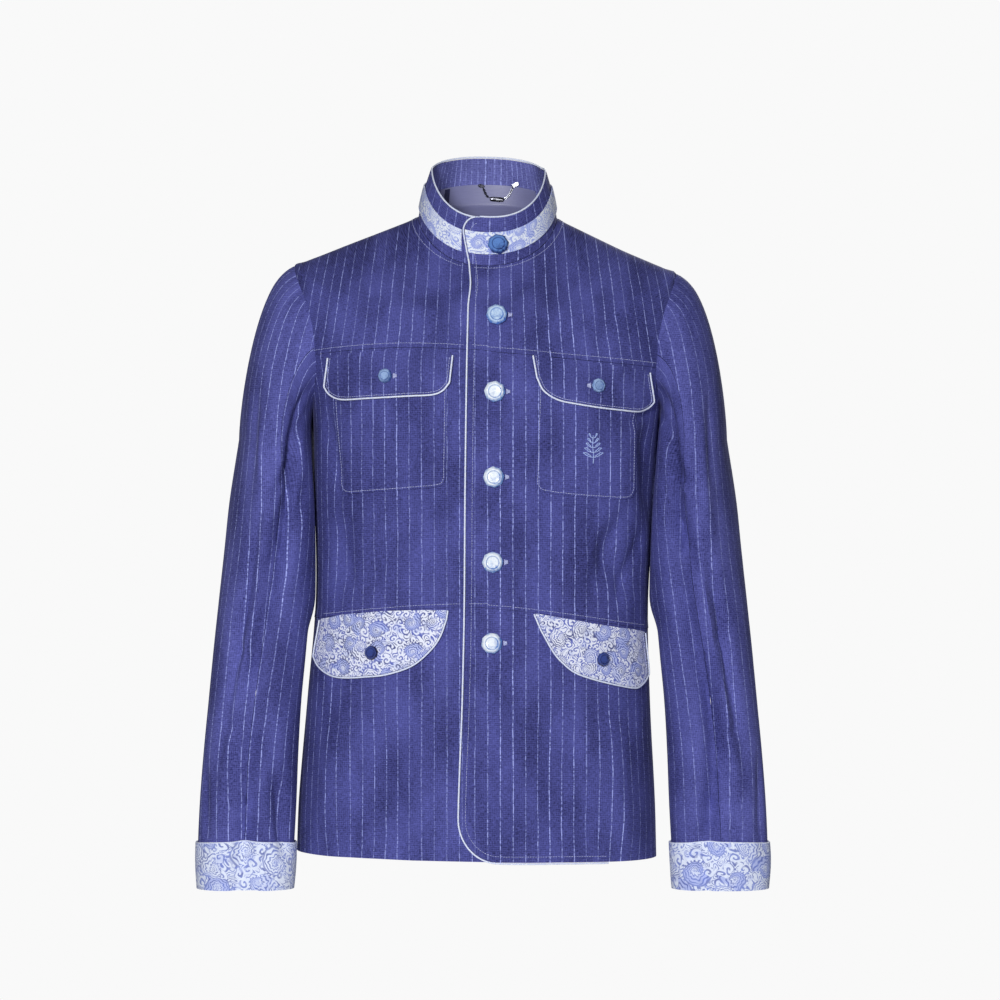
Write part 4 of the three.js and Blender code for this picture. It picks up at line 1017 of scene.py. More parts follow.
def sleeve_section(angle, drop, side):
    ring = row_at(SLEEVE, drop)
    turn = np.radians(ring["turn"])
    bend = 2 / ring["power"]
    flank = np.sqrt(ring["half"] ** 2 - (ring["depth"] * np.sin(turn)) ** 2) / np.cos(turn)
    out = flank * signed_power(np.cos(angle), bend)
    ahead = ring["depth"] * signed_power(np.sin(angle), bend)
    x = ring["out"] + out * np.cos(turn) - ahead * np.sin(turn)
    y = ring["y"] - ahead * np.cos(turn) - out * np.sin(turn)
    return np.stack(np.broadcast_arrays(SLEEVE_CENTRE + side * x, y, -drop), axis=-1)


def clear_of_body(point, side):
    """The sleeve hangs beside the body: what would enter it is pushed out along x."""
    x, y, z = point[..., 0], point[..., 1], point[..., 2]
    ring = row_at(BODY, np.clip(z - HEM_HEIGHT, HEM_LEVEL, ARMPIT_LEVEL))
    reach = np.minimum(np.abs(y / np.where(y < 0, ring["yFront"], ring["yBack"])), 1)
    limit = ring["half"] * (1 - reach ** ring["power"]) ** (1 / ring["power"]) + BODY_CLEARANCE
    out = side * (x - ring["centre"])
    pushed = limit + CONTACT_SOFTNESS * np.logaddexp(0, (out - limit) / CONTACT_SOFTNESS)
    below = smooth_step(0, 22, HEM_HEIGHT + ARMPIT_LEVEL - z)
    near = smooth_step(90, 40, out - limit)
    return np.stack([x + side * (pushed - out) * below * near, y, z], axis=-1)


def sleeve_cap(angle, share, side):
    start = armhole_point(angle, side)
    end = sleeve_section(angle, np.full(np.shape(angle), float(SLEEVE_TOP_DROP)), side)
    top, low = ((1 + np.cos(angle)) / 2) ** 2, ((1 - np.cos(angle)) / 2) ** 2
    flank = 1 - top - low
    leaves, lands = CAP_LEAVES, CAP_LANDS
    out = top * leaves["top_out"] + flank * leaves["side_out"] + low * leaves["low_out"]
    fall = top * leaves["top_down"] + flank * leaves["side_down"] + low * leaves["low_down"]
    ahead = flank * leaves["side_ahead"] * np.sign(np.sin(angle))
    leaving = np.stack([side * out, -ahead, -fall], axis=-1)
    landing = top * lands["top"] + flank * lands["side"] + low * lands["low"]
    arriving = np.stack([side * landing * 0.02, -landing * 0.12, -landing], axis=-1)
    square, cube = share**2, share**3
    return (
        start * (2 * cube - 3 * square + 1)[..., None]
        + leaving * (cube - 2 * square + share)[..., None]
        + end * (3 * square - 2 * cube)[..., None]
        + arriving * (cube - square)[..., None]
    )


def sleeve_base(angle, down, side):
    """Down the sleeve: 0 to 1 is the cap, and then each unit is a millimetre of drop."""
    angle, down = np.broadcast_arrays(np.asarray(angle, float), np.asarray(down, float))
    cap = sleeve_cap(angle, np.clip(down, 0, 1), side)
    lower = sleeve_section(angle, SLEEVE_TOP_DROP + np.maximum(down - 1, 0), side)
    point = np.where((down >= 1)[..., None], lower, cap)
    behind = np.exp(-(((np.degrees(angle) % 360 - REAR_FULLNESS["angle"]) / REAR_FULLNESS["width"]) ** 2))
    reach = smooth_step(135, 185, -point[..., 2]) * smooth_step(462, 418, -point[..., 2])
    point[..., 0] -= side * REAR_FULLNESS["depth"] * behind * reach
    return clear_of_body(point, side)


def sleeve_point(angle, down, side, lift):
    angle, down = np.broadcast_arrays(np.asarray(angle, float), np.asarray(down, float))
    step = np.where(down < 1.5, 0.02, 2.0)
    at = np.maximum(down, step)
    across = sleeve_base(angle + 0.03, at, side) - sleeve_base(angle - 0.03, at, side)
    up = sleeve_base(angle, at + step, side) - sleeve_base(angle, at - step, side)
    normal = unit(np.cross(across, up)) * side
    base = sleeve_base(angle, down, side)
    folds = rows_where(SLEEVE_FOLDS, "side", side)
    wrapped = np.degrees(angle) % 360
    height = fold_height(folds, ("angle1", "drop1", "angle2", "drop2"), wrapped, -base[..., 2])
    height = FOLD_STRENGTH["sleeve"] * height * smooth_step(150, 230, -base[..., 2])
    return base + normal * (lift + height)[..., None], normal


SLEEVE_END = 1 + CUFF_DROP - SLEEVE_TOP_DROP


def cap_arc(angle, point, side):
    """Across the cap's cloth from its outside, with the stripes parallel to its outline."""
    downs = np.linspace(0, 1, 40)
    outline = sleeve_base(np.zeros(40), downs, side)
    turns = np.linspace(0, np.pi, 73)
    x_out = np.interp(-point[..., 2], -outline[:, 2], side * outline[:, 0])
    inward = x_out - side * point[..., 0]
    arcs = []
    for facing in (1, -1):
        ring = sleeve_base(facing * turns, np.ones(73), side)
        arc = np.concatenate([[0], np.cumsum(np.linalg.norm(np.diff(ring, axis=0), axis=-1))])
        depth = side * (ring[0, 0] - ring[:, 0])
        last = int(np.argmax(depth > depth.max() * 0.8))
        near = np.interp(inward, depth[: last + 1], arc[: last + 1])
        arcs.append(near + np.maximum(inward - depth[last], 0))
    wrapped = (angle + np.pi) % (2 * np.pi) - np.pi
    return np.where(wrapped >= 0, arcs[0], -arcs[1])


def sleeve_uv(angle, down, side, origin):
    """Across and down the sleeve's cloth, with the stripes parallel to its middle line."""
    turns = np.linspace(0, 2 * np.pi, 145)
    downs = np.concatenate([np.linspace(0, 1, 14), np.linspace(12, SLEEVE_END, 60)])
    points = sleeve_base(turns[None, :], downs[:, None], side)
    steps = np.linalg.norm(np.diff(points, axis=1), axis=-1)
    lengths = np.concatenate([np.zeros((len(downs), 1)), np.cumsum(steps, axis=1)], axis=1)
    falls = np.concatenate([[0], np.cumsum(np.linalg.norm(np.diff(points[:, 0], axis=0), axis=-1))])
    row = np.interp(down, downs, np.arange(len(downs)))
    i = np.clip(np.floor(row).astype(int), 0, len(downs) - 2)
    turn = (angle % (2 * np.pi)) / turns[1]
    j = np.clip(np.floor(turn).astype(int), 0, len(turns) - 2)
    a, b = row - i, turn - j
    arc = (
        lengths[i, j] * (1 - a) * (1 - b)
        + lengths[i + 1, j] * a * (1 - b)
        + lengths[i, j + 1] * (1 - a) * b
        + lengths[i + 1, j + 1] * a * b
    )
    whole = lengths[i, -1] * (1 - a) + lengths[i + 1, -1] * a
    fall = np.interp(down, downs, falls)
    if origin:
        quarter = len(turns) // 4
        seam = lengths[i, quarter] * (1 - a) + lengths[i + 1, quarter] * a
        return np.stack([side * (seam - arc), -fall], axis=-1)
    point = sleeve_base(angle, down, side)
    arc = np.where(angle < 0, arc - whole, arc)
    inner = smooth_step(0.4, 1.0, np.abs(angle)) * (down < 1)
    arc = arc + (cap_arc(angle, point, side) - arc) * inner
    at_top = np.interp(1.0, downs, falls) - (point[..., 2] + SLEEVE_TOP_DROP)
    return np.stack([side * -arc, -np.where(down < 1, at_top, fall)], axis=-1)


def sleeve(name, side, materials):
    cap = np.linspace(0.0, 0.96, 30)
    downs = np.concatenate([cap, np.linspace(1, SLEEVE_END - 2, 92)])
    gap = SEAM_GAP / 2 / 60
    for half, low, high, origin in (("top", -np.pi / 2, np.pi / 2, 0), ("under", np.pi / 2, 1.5 * np.pi, 1)):
        angles = np.linspace(low + gap, high - gap, 45)
        grid = np.broadcast_arrays(angles[None, :], downs[:, None])
        head = ((1 + np.cos(grid[0])) / 2) ** 6
        lap = head * smooth_step(0.25, 0.0, grid[1]) * SLEEVE_HEAD["lap"]
        rise = head * smooth_step(0.5, 0.0, grid[1]) * SLEEVE_HEAD["rise"]
        over = np.stack([-side * lap, np.zeros(lap.shape), rise], axis=-1)
        outer, inner = (sleeve_point(*grid, side, -depth)[0] + over for depth in (0.0, WALL))
        uv = sleeve_uv(*grid, side, origin)
        piece = cloth_piece(f"sleeve_{half}_{name}", outer, inner, uv, flip=side > 0)
        clothe(piece, materials[origin])


def cuff(name, side, paisley, piping):
    angles = np.linspace(-np.pi / 2, 1.5 * np.pi, 109)[:-1]
    top = SLEEVE_END - CUFF_HEIGHT + 3 * np.cos(angles) ** 2
    rows = np.linspace(0, 1, 20)[:, None]
    down = top + (SLEEVE_END - top) * rows
    turn = np.broadcast_to(angles, down.shape)
    puff = 0.9 * np.sin(np.pi * rows) * (0.6 + 0.4 * np.sin(3 * turn + side))
    outer, inner = (sleeve_point(turn, down, side, CUFF_GAP + depth + puff)[0] for depth in (WALL, 0.0))
    uv = sleeve_uv(turn, down, side, 0)
    piece = cloth_piece(f"cuff_{name}", outer, inner, uv, True, side > 0)
    clothe(piece, paisley)
    closed = np.append(angles, angles[0] + 2 * np.pi)
    edge, normal = sleeve_point(closed, np.append(top, top[0]) - 0.4, side, CUFF_GAP + WALL / 2 + 0.2)
    clothe(trim_piece(f"cuff_edge_{name}", [cord_mesh(edge, normal, 0.9, 8)], "piping"), piping)


# Collar
def collar_base(angle, rise):
    low = body_point(angle, np.full(np.shape(angle), float(NECK_LEVEL)))
    high = ring_point(COLLAR_TOP, angle)
    rise = np.asarray(rise, float)[..., None]
    bow = np.stack([np.cos(angle), np.sin(angle), np.zeros(np.shape(angle))], axis=-1) * COLLAR_BOW
    return low + (high - low) * rise + bow * np.sin(np.pi * np.clip(rise, 0, 1))


def collar_normal(angle, rise):
    normal = normal_of(collar_base, angle, rise, 0.02, 0.04)
    return unit(normal + (neck_normal(angle) - normal) * (1 - smooth_step(0, 0.3, rise))[..., None])


def collar_point(angle, rise, lift):
    angle, rise = np.broadcast_arrays(np.asarray(angle, float), np.asarray(rise, float))
    lift = np.broadcast_to(lift, angle.shape)
    return collar_base(angle, rise) + collar_normal(angle, rise) * lift[..., None]


def collar_angle(rise, x):
    low = {name: float(value) for name, value in row_at(BODY, NECK_LEVEL).items()}
    half = low["half"] + (COLLAR_TOP["half"] - low["half"]) * rise
    power = low["power"] + (COLLAR_TOP["power"] - low["power"]) * rise
    across = np.clip((x - low["centre"] * (1 - rise)) / half, -1, 1)
    return -np.arccos(signed_power(across, power / 2))


def collar_end_x(rise):
    above = np.clip((rise - COLLAR_END["corner_from"]) / (1 - COLLAR_END["corner_from"]), 0, 1)
    share = np.minimum(rise / COLLAR_END["corner_from"], 1)
    straight = COLLAR_END["low"] + (COLLAR_END["high"] - COLLAR_END["low"]) * share
    return straight + COLLAR_END["corner"] * (1 - np.sqrt(1 - above * above))


def over_lift(angle, rise):
    """The lap's lift, on the last stretch of the strip, past the wearer's left side."""
    return np.where(angle < -1.9 * np.pi, lap_lift(collar_base(angle, rise)[..., 0]), 0.0)


def collar_strip(name, rises, under_x, over_inset, inner_lift, outer_lift, slot):
    start = collar_angle(rises, under_x)
    finish = collar_angle(rises, collar_end_x(rises) + over_inset) - 2 * np.pi
    shares = np.linspace(0, 1, 181)
    angle = start[:, None] + (finish - start)[:, None] * shares
    rise = np.broadcast_to(rises[:, None], angle.shape)
    outer, inner = (collar_point(angle, rise, over_lift(angle, rise) + lift) for lift in (outer_lift, inner_lift))
    uv = np.stack([angle * COLLAR_RADIUS, rise * COLLAR_DEPTH], axis=-1)
    return cloth_piece(name, outer, inner, uv, flip=True)


def dress_inside(piece, rows, columns, material):
    """The inner side of a wall in a cloth of its own."""
    piece.data.materials.append(material)
    for polygon in piece.data.polygons:
        if min(polygon.vertices) >= rows * columns:
            polygon.material_index = len(piece.data.materials) - 1


def collar(cloth, inside, paisley):
    gap = 2 * SEAM_GAP / COLLAR_DEPTH
    rises = np.concatenate([np.linspace(gap, 0.8, 14), np.linspace(0.84, 0.96, 5), [0.975, 0.988, 0.996, 1.0]])
    piece = collar_strip("collar", rises, UNDER_COLLAR_X, 0, -WALL, 0.0, "striped_cloth")
    dress_inside(clothe(piece, cloth), len(rises), 181, inside)
    rises = np.linspace(BAND_FROM, BAND_TO, 9)
    lifts = LAYER_GAP, LAYER_GAP + PATCH_WALL
    band_piece = collar_strip("collar_band", rises, COLLAR_END["high"] - 3.2, 0.4, *lifts, "paisley_cloth")
    clothe(band_piece, paisley)


# Pockets and flaps
def sections_at(table, count):
    """The sections of a patch, with more between them."""
    index = np.arange(float(len(table["xTop"])))
    read = row_at({"index": index, **table}, np.linspace(0, index[-1], count))
    return {name: read[name] for name in table}


def stand_off(way, amount):
    """How far a flap stands off the cloth towards its free edge."""
    return amount * smooth_step(0, 1, way)


def patch(name, table, on_lap, height, material, off=0.0, rows=16, count=73):
    cut = sections_at(table, count)
    ways = np.linspace(0, 1, rows + 1)[:, None]
    x = cut["xTop"] + (cut["xLow"] - cut["xTop"]) * ways
    z = cut["zTop"] + (cut["zLow"] - cut["zTop"]) * ways
    lift = height + stand_off(ways, off)
    inner, _ = front_spot(x, z, lift, on_lap)
    outer, _ = front_spot(x, z, lift + PATCH_WALL, on_lap)
    level = seam_level(lambda at: front_angle(np.broadcast_to(at, x.shape), x), lambda _: z, 0)
    uv = np.stack([body_u(front_angle(level, x), level, -1), level], axis=-1)
    piece = cloth_piece(name, outer, inner, uv, flip=True)
    return clothe(piece, material)


def free_edge(table, reach, count=150):
    """The line round a patch's sides and low edge, reach outside it, with how free the cloth is."""
    table = sections_at(table, 70)
    first = {name: values[0] for name, values in table.items()}
    last = {name: values[-1] for name, values in table.items()}

    def side(section, ways):
        x = section["xTop"] + (section["xLow"] - section["xTop"]) * ways
        z = section["zTop"] + (section["zLow"] - section["zTop"]) * ways
        return np.stack([x, z, ways], axis=-1)

    down = np.linspace(0.04, 0.96, 10)
    low = np.stack([table["xLow"], table["zLow"], np.ones(len(table["xLow"]))], axis=-1)
    corners = np.concatenate([side(first, down), low, side(last, down[::-1])])
    lengths = np.concatenate([[0], np.cumsum(np.linalg.norm(np.diff(corners[:, :2], axis=0), axis=1))])
    at = np.linspace(0, lengths[-1], count)
    line = np.stack([np.interp(at, lengths, corners[:, k]) for k in range(3)], axis=1)
    along = unit(np.gradient(line[:, :2], axis=0))
    for _ in range(2):
        along[1:-1] = unit(along[:-2] + along[1:-1] * 2 + along[2:])
    aside = np.stack([along[:, 1], -along[:, 0]], axis=1)
    middle = np.array([(first["xTop"] + last["xTop"]) / 2, first["zTop"]])
    toward = np.sign(np.sum(aside * (line[:, :2] - middle), axis=1))
    line[:, :2] += aside * toward[:, None] * reach
    return line


def flap_piping(name, table, on_lap, height, off, material):
    line = free_edge(table, PIPING_RADIUS + SEAM_GAP)
    lift = height + PATCH_WALL / 2 + 0.5 + stand_off(line[:, 2], off)
    points, normals = front_spot(line[:, 0], line[:, 1], lift, on_lap)
    parts = [cord_mesh(points, normals, PIPING_RADIUS)]
    clothe(trim_piece(name + "_piping_cord", parts, "piping", name + "_piping"), material)


def edge_stitches(name, table, on_lap, height, off, reach, material, generator):
    line = free_edge(table, reach)
    lift = height + PATCH_WALL + stand_off(line[:, 2], off)
    points, normals = front_spot(line[:, 0], line[:, 1], lift, on_lap)
    clothe(trim_piece(name + "_stitches", stitch_parts(points, normals, generator), "piping"), material)


def pockets_and_flaps(cloths, paisleys, piping, thread, generator):
    for name, table in POCKETS.items():
        on_lap = name.endswith("left")
        patch(name, table, on_lap, POCKET_LIFT, cloths[on_lap], rows=40)
        edge_stitches(name, table, on_lap, POCKET_LIFT, 0.0, -2.2, thread, generator)
    for name, table in FLAPS.items():
        on_lap, is_chest = name.endswith("left"), name.startswith("chest")
        height, off = (CHEST_FLAP_LIFT, 1.4) if is_chest else (HIP_FLAP_LIFT, 1.8)
        material = cloths[on_lap] if is_chest else paisleys
        patch(name, table, on_lap, height, material, off)
        flap_piping(name, table, on_lap, height, off, piping)
        edge_stitches(name, table, on_lap, height, off, -1.6, thread, generator)


# Piping down the lap and round the collar
def collar_piping(material):
    finish = collar_angle(1.0, collar_end_x(1.0)) - 2 * np.pi
    angle = np.linspace(collar_angle(1.0, UNDER_COLLAR_X), finish, 220)
    rise = np.full(angle.shape, 1 + (PIPING_RADIUS + 1.5 * SEAM_GAP) / COLLAR_DEPTH)
    points = collar_point(angle, rise, over_lift(angle, np.ones(angle.shape)) - WALL / 2)
    normals = collar_normal(angle, np.ones(angle.shape))
    clothe(trim_piece("collar_piping_cord", [cord_mesh(points, normals, PIPING_RADIUS)], "piping", "collar_piping"), material)


def lap_line(reach, height):
    """The line along the lap's edge: down the collar's end and the left front, and along the hem."""
    rise = np.linspace(0.985, 0.04, 26)
    slope = (collar_end_x(rise + 0.01) - collar_end_x(rise - 0.01)) / (0.02 * COLLAR_DEPTH)
    length = np.hypot(1, slope)
    up = rise + reach * slope / length / COLLAR_DEPTH
    angle = collar_angle(rise, collar_end_x(rise) - reach / length)
    collar_points, collar_normals = collar_point(angle, up, LAP_LIFT + height), collar_normal(angle, up)
    z = np.linspace(-72, -655, 150)
    slope = front_edge_x(z + 0.5) - front_edge_x(z - 0.5)
    length = np.hypot(1, slope)
    edge = front_spot(front_edge_x(z) - reach / length, z + reach * slope / length, height, True)
    turn = np.linspace(0.06, np.pi / 2, 22)
    away = np.stack([-np.cos(turn) / HEM_CORNER["width"], -np.sin(turn) / HEM_CORNER["height"]], axis=-1)
    away = unit(away) * reach
    x = front_edge_x(HEM_CORNER["top"]) + HEM_CORNER["width"] * (1 - np.cos(turn))
    corner = front_spot(x + away[:, 0], HEM_CORNER["top"] - HEM_CORNER["height"] * np.sin(turn) + away[:, 1], height, True)
    x = np.linspace(x[-1] + 6, PIPING_END_X, 24)
    hem_z = body_point(front_angle(np.zeros(x.shape), x), np.zeros(x.shape))[:, 2]
    hem = front_spot(x, hem_z - reach, height, True)
    points = np.concatenate([collar_points, edge[0], corner[0], hem[0]])
    normals = np.concatenate([collar_normals, edge[1], corner[1], hem[1]])
    return points, normals


def front_piping(material):
    points, normals = lap_line(PIPING_RADIUS + 1.5 * SEAM_GAP, -WALL / 2)
    clothe(trim_piece("front_piping_cord", [cord_mesh(points, normals, PIPING_RADIUS)], "piping", "front_piping"), material)


# Seam stitching
def seam_line(height_at, rise, x_from, x_to, on_lap, height=0.0):
    x = np.linspace(x_from, x_to, 90)
    return front_spot(x, height_at(x) + rise, height, on_lap)


def neck_line(start, finish, below, on_lap):
    angle = np.linspace(start, finish, 120)
    level = np.full(angle.shape, NECK_LEVEL - below)
    lap = lap_lift(body_point(angle, level)[..., 0]) * (np.cos(angle) > -0.9) if on_lap else 0.0
    return cloth_point(angle, level, np.zeros(angle.shape) + lap), body_normal(angle, level)


def seam_stitches(thread, generator):
    rows = {
        "yoke_right": seam_line(yoke_height, 4.8, -188, -24, False, 0.5),
        "yoke_left": seam_line(yoke_height, 4.8, -17, 184, True, 0.5),
        "waist_right": seam_line(waist_height, 3.6, -178, -26, False, 0.3),
        "waist_left": seam_line(waist_height, 3.6, -20, 170, True, 0.3),
        "neck_right": neck_line(-np.pi, collar_angle(0.0, -24), 6.5, False),
        "neck_left": neck_line(collar_angle(0.0, -13), 0.0, 6.5, True),
        "neck_back": neck_line(0.0, np.pi, 6.5, False),
        "lap": lap_line(-6.2, 0.0),
    }
    for name, (points, normals) in rows.items():
        parts = stitch_parts(points, normals, generator, 2.5, 2.9, 0.26)
        clothe(trim_piece(f"stitches_{name}", parts, "piping"), thread)


# Buttons
def turned(points, spot, normal):
    """Points whose z is the height over a spot, turned to stand along its normal."""
    side = unit(np.cross(normal, np.array([0.0, 0.0, 1.0])))
    up = np.cross(side, normal)
    return spot + points[:, :1] * -side + points[:, 1:2] * up + points[:, 2:] * normal


def button_mesh(radius, depth, sides=8, spin=0.0):
    """An eight-sided button: upright rim, a broad bevel and a shallow round well in its table."""
    profile = [(0.82, 0, 1), (1.0, 0.16, 1), (1.0, 0.5, 1), (0.8, 0.94, 1), (0.74, 1.0, 0.8), (0.6, 1.0, 0), (0.55, 0.9, 0), (0.2, 0.84, 0)]
    turns = 2 * np.pi * np.arange(sides * 4) / (sides * 4) + spin
    local = (turns - spin + np.pi / sides) % (2 * np.pi / sides) - np.pi / sides
    flat = np.cos(np.pi / sides) / np.cos(np.abs(local) - np.pi / sides)
    points = []
    for across, height, angular in profile:
        ring = radius * across * (1 + (flat - 1) * angular)
        points.append(np.stack([ring * np.cos(turns), ring * np.sin(turns), np.full(len(turns), depth * height)], axis=1))
    count, last = len(turns), len(profile) - 1
    faces = []
    for row in range(last):
        for column in range(count):
            a, b = row * count + column, row * count + (column + 1) % count
            faces.append((a, b, b + count, a + count))
    faces.append(tuple(range(count))[::-1])
    faces.append(tuple(last * count + column for column in range(count)))
    return np.concatenate(points), faces


def thread_knot(spot, normal, offset, generator):
    """The end of a worked buttonhole that shows beside a button: a few short bars of thread."""
    side = unit(np.cross(normal, np.array([0.0, 0.0, 1.0])))
    up = np.cross(side, normal)
    parts = []
    for step in range(5):
        centre = spot - side * (offset + 0.85 * step * math.copysign(1, offset)) + normal * 0.3
        half = up * (2.7 - 0.3 * step) * generator.uniform(0.85, 1.1)
        path = np.array([centre - half, centre - half * 0.4 + normal * 0.35, centre + half * 0.4 + normal * 0.35, centre + half])
        parts.append(cord_mesh(path, np.tile(normal, (4, 1)), 0.5, 5))
    return parts


def buttons(materials, thread, generator):
    spots = {}
    for index, (x, z) in enumerate(FRONT_BUTTONS):
        spots[f"button_front_{index + 1}"] = (front_spot(x, z, BUTTON_GAP, True), "front", 1)
    spots["button_front_1"] = (*spots["button_front_1"][:1], "light", 1)
    for name, (x, z) in FLAP_BUTTONS.items():
        base, off = (CHEST_FLAP_LIFT, 1.4) if "chest" in name else (HIP_FLAP_LIFT, 1.8)
        height = base + stand_off(0.55, off) + PATCH_WALL + BUTTON_GAP
        kind = "blue" if "chest" in name else "navy"
        spots[name] = (front_spot(x, z, height, name.endswith("left")), kind, -1 if name == "button_chest_left" else 1)
    angle = np.array(collar_angle(COLLAR_BUTTON["rise"], COLLAR_BUTTON["x"]))
    rise = np.array(COLLAR_BUTTON["rise"])
    lift = LAP_LIFT + LAYER_GAP + PATCH_WALL + BUTTON_GAP
    spots["button_collar"] = ((collar_point(angle, rise, lift), collar_normal(angle, rise)), "collar", 0)
    knots = []
    for name, ((spot, normal), kind, way) in spots.items():
        is_big = kind in ("front", "light", "collar")
        radius, depth = (BUTTON_RADIUS, BUTTON_DEPTH) if is_big else (SMALL_BUTTON_RADIUS, SMALL_BUTTON_DEPTH)
        points, faces = button_mesh(radius, depth, spin=generator.uniform(-0.3, 0.3))
        across = points[:, :2] / radius / MM
        piece = new_piece(name + "_shell", turned(points, spot, normal), faces, across, sharp=14)
        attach(piece, "root")
        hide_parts(name)
        clothe(piece, materials[kind])
        if way and kind != "navy":
            knots += thread_knot(spot, normal, way * (radius + 1.2), generator)
    clothe(trim_piece("buttonhole_ends", knots, "piping"), thread)


# Inside of the neck
def inside_neck(angle, way, inset):
    angle, way = np.broadcast_arrays(np.asarray(angle, float), np.asarray(way, float))
    above = collar_point(angle, np.maximum(way, 0), -inset)
    level = NECK_LEVEL + np.minimum(way, 0) * LINING_FALL
    below = body_point(angle, level) - body_normal(angle, level) * inset
    return np.where((way > 0)[..., None], above, below)


def lining(satin, dark):
    ways = np.concatenate([np.linspace(-1, 0, 26), np.linspace(0.03, LINING_RISE, 12)])[:, None]
    spread = 47 + 12 * np.maximum(-ways, 0) + 6 * (LINING_RISE - np.maximum(ways, 0))
    half = np.radians(spread)
    shares = np.linspace(-1, 1, 61)
    angle = np.pi / 2 + half * shares
    way = np.broadcast_to(ways, angle.shape)
    inset = WALL + LAYER_GAP
    sag = 0.5 * np.sin(9 * angle) * smooth_step(0.1, -0.4, way)
    inner, outer = (inside_neck(angle, way, inset) - 0, inside_neck(angle, way, inset + LINING_WALL))
    outer = outer + np.stack([np.zeros(sag.shape), -np.abs(sag), np.zeros(sag.shape)], axis=-1)
    uv = np.stack([angle * 62, way * 62], axis=-1)
    piece = cloth_piece("back_neck_lining", outer, inner, uv)
    clothe(piece, satin)
    # A narrow, upright dark strip lies on the lining beside the wearer's right.
    angle = np.pi / 2 + np.radians(38) + np.radians(3) * np.linspace(-1, 1, 4)[None, :]
    way = np.linspace(-0.05, LINING_RISE - 0.03, 16)[:, None]
    grid = [inside_neck(angle, way, inset + LINING_WALL + lift) for lift in (0.5, 1.1)]
    points = np.concatenate([grid[1].reshape(-1, 3), grid[0].reshape(-1, 3)])
    dark_strip = trim_piece("neck_dark_strip", [(points, wall_faces(16, 4, False))], "lining")
    clothe(dark_strip, dark)


def lining_spot(x, z, height):
    low = {name: float(value) for name, value in row_at(BODY, NECK_LEVEL).items()}
    x, z = np.asarray(x, float), np.asarray(z, float)
    angle = np.arccos(signed_power((x - low["centre"]) / low["half"], low["power"] / 2))
    start, end = (collar_base(angle, np.full(angle.shape, rise))[..., 2] for rise in (0.0, 1.0))
    return inside_neck(angle, (z - start) / (end - start), WALL + LAYER_GAP + LINING_WALL + height)


def link_mesh(centre, along, normal, length, width, wire):
    """An oval link: a wire ring, longer along the chain than across it."""
    side = unit(np.cross(normal, along))
    turns = np.linspace(0, 2 * np.pi, 17)[:-1]
    path = centre + np.cos(turns)[:, None] * along * length + np.sin(turns)[:, None] * side * width
    ring = []
    for index, turn in enumerate(turns):
        out = unit(np.cos(turn) * along * width + np.sin(turn) * side * length)
        around = 2 * np.pi * np.arange(6) / 6
        ring.append(path[index] + wire * (np.cos(around)[:, None] * out + np.sin(around)[:, None] * normal))
    faces = []
    for a in range(16):
        for b in range(6):
            faces.append((a * 6 + b, a * 6 + (b + 1) % 6, (a + 1) % 16 * 6 + (b + 1) % 6, (a + 1) % 16 * 6 + b))
    return np.concatenate(ring), faces


def chain_links(start, finish, name, node, material):
    share = np.linspace(0, 1, 40)
    x = start[0] + (finish[0] - start[0]) * share
    z = start[1] + (finish[1] - start[1]) * share - 2.5 * np.sin(np.pi * share)
    line = lining_spot(x, z, 2.4)
    spots, _, _ = resample(line, np.tile([0.0, -1.0, 0.0], (40, 1)), 1.9)
    along = unit(np.gradient(spots, axis=0))
    parts = []
    for index, (spot, way) in enumerate(zip(spots, along)):
        flat = unit(np.array([0.0, -1.0, 0.0]) - way * np.dot(way, [0.0, -1.0, 0.0]))
        normal = flat if index % 2 else np.cross(way, flat)
        parts.append(link_mesh(spot, way, normal, 1.55, 1.0, 0.36))
    clothe(trim_piece(name, parts, "chain_metal", node), material)


def rounded_bar(centre, size, lean, height_steps=((1, 0), (1, 0.7), (0.86, 1)), corner=0.35):
    """A bar with rounded corners and a bevelled front, centred at a spot, leaning in the view."""
    turns = np.linspace(0, 2 * np.pi, 25)[:-1]
    power = 2 / (2 + 4 * (1 - corner))
    rings = []
    for scale, forward in height_steps:
        x = signed_power(np.cos(turns), power) * size[0] / 2 * scale
        z = signed_power(np.sin(turns), power) * size[2] / 2 * scale
        rings.append(np.stack([x, np.full(x.shape, -size[1] * (forward - 0.5)), z], axis=1))
    count, last = len(turns), len(rings) - 1
    faces = []
    for row in range(last):
        for column in range(count):
            a, b = row * count + column, row * count + (column + 1) % count
            faces.append((a, b, b + count, a + count))
    faces.append(tuple(range(count))[::-1])
    faces.append(tuple(last * count + column for column in range(count)))
    points = np.concatenate(rings)
    c, s = math.cos(math.radians(lean)), math.sin(math.radians(lean))
    spun = np.stack([points[:, 0] * c + points[:, 2] * s, points[:, 1], -points[:, 0] * s + points[:, 2] * c], axis=1)
    return spun + centre, faces


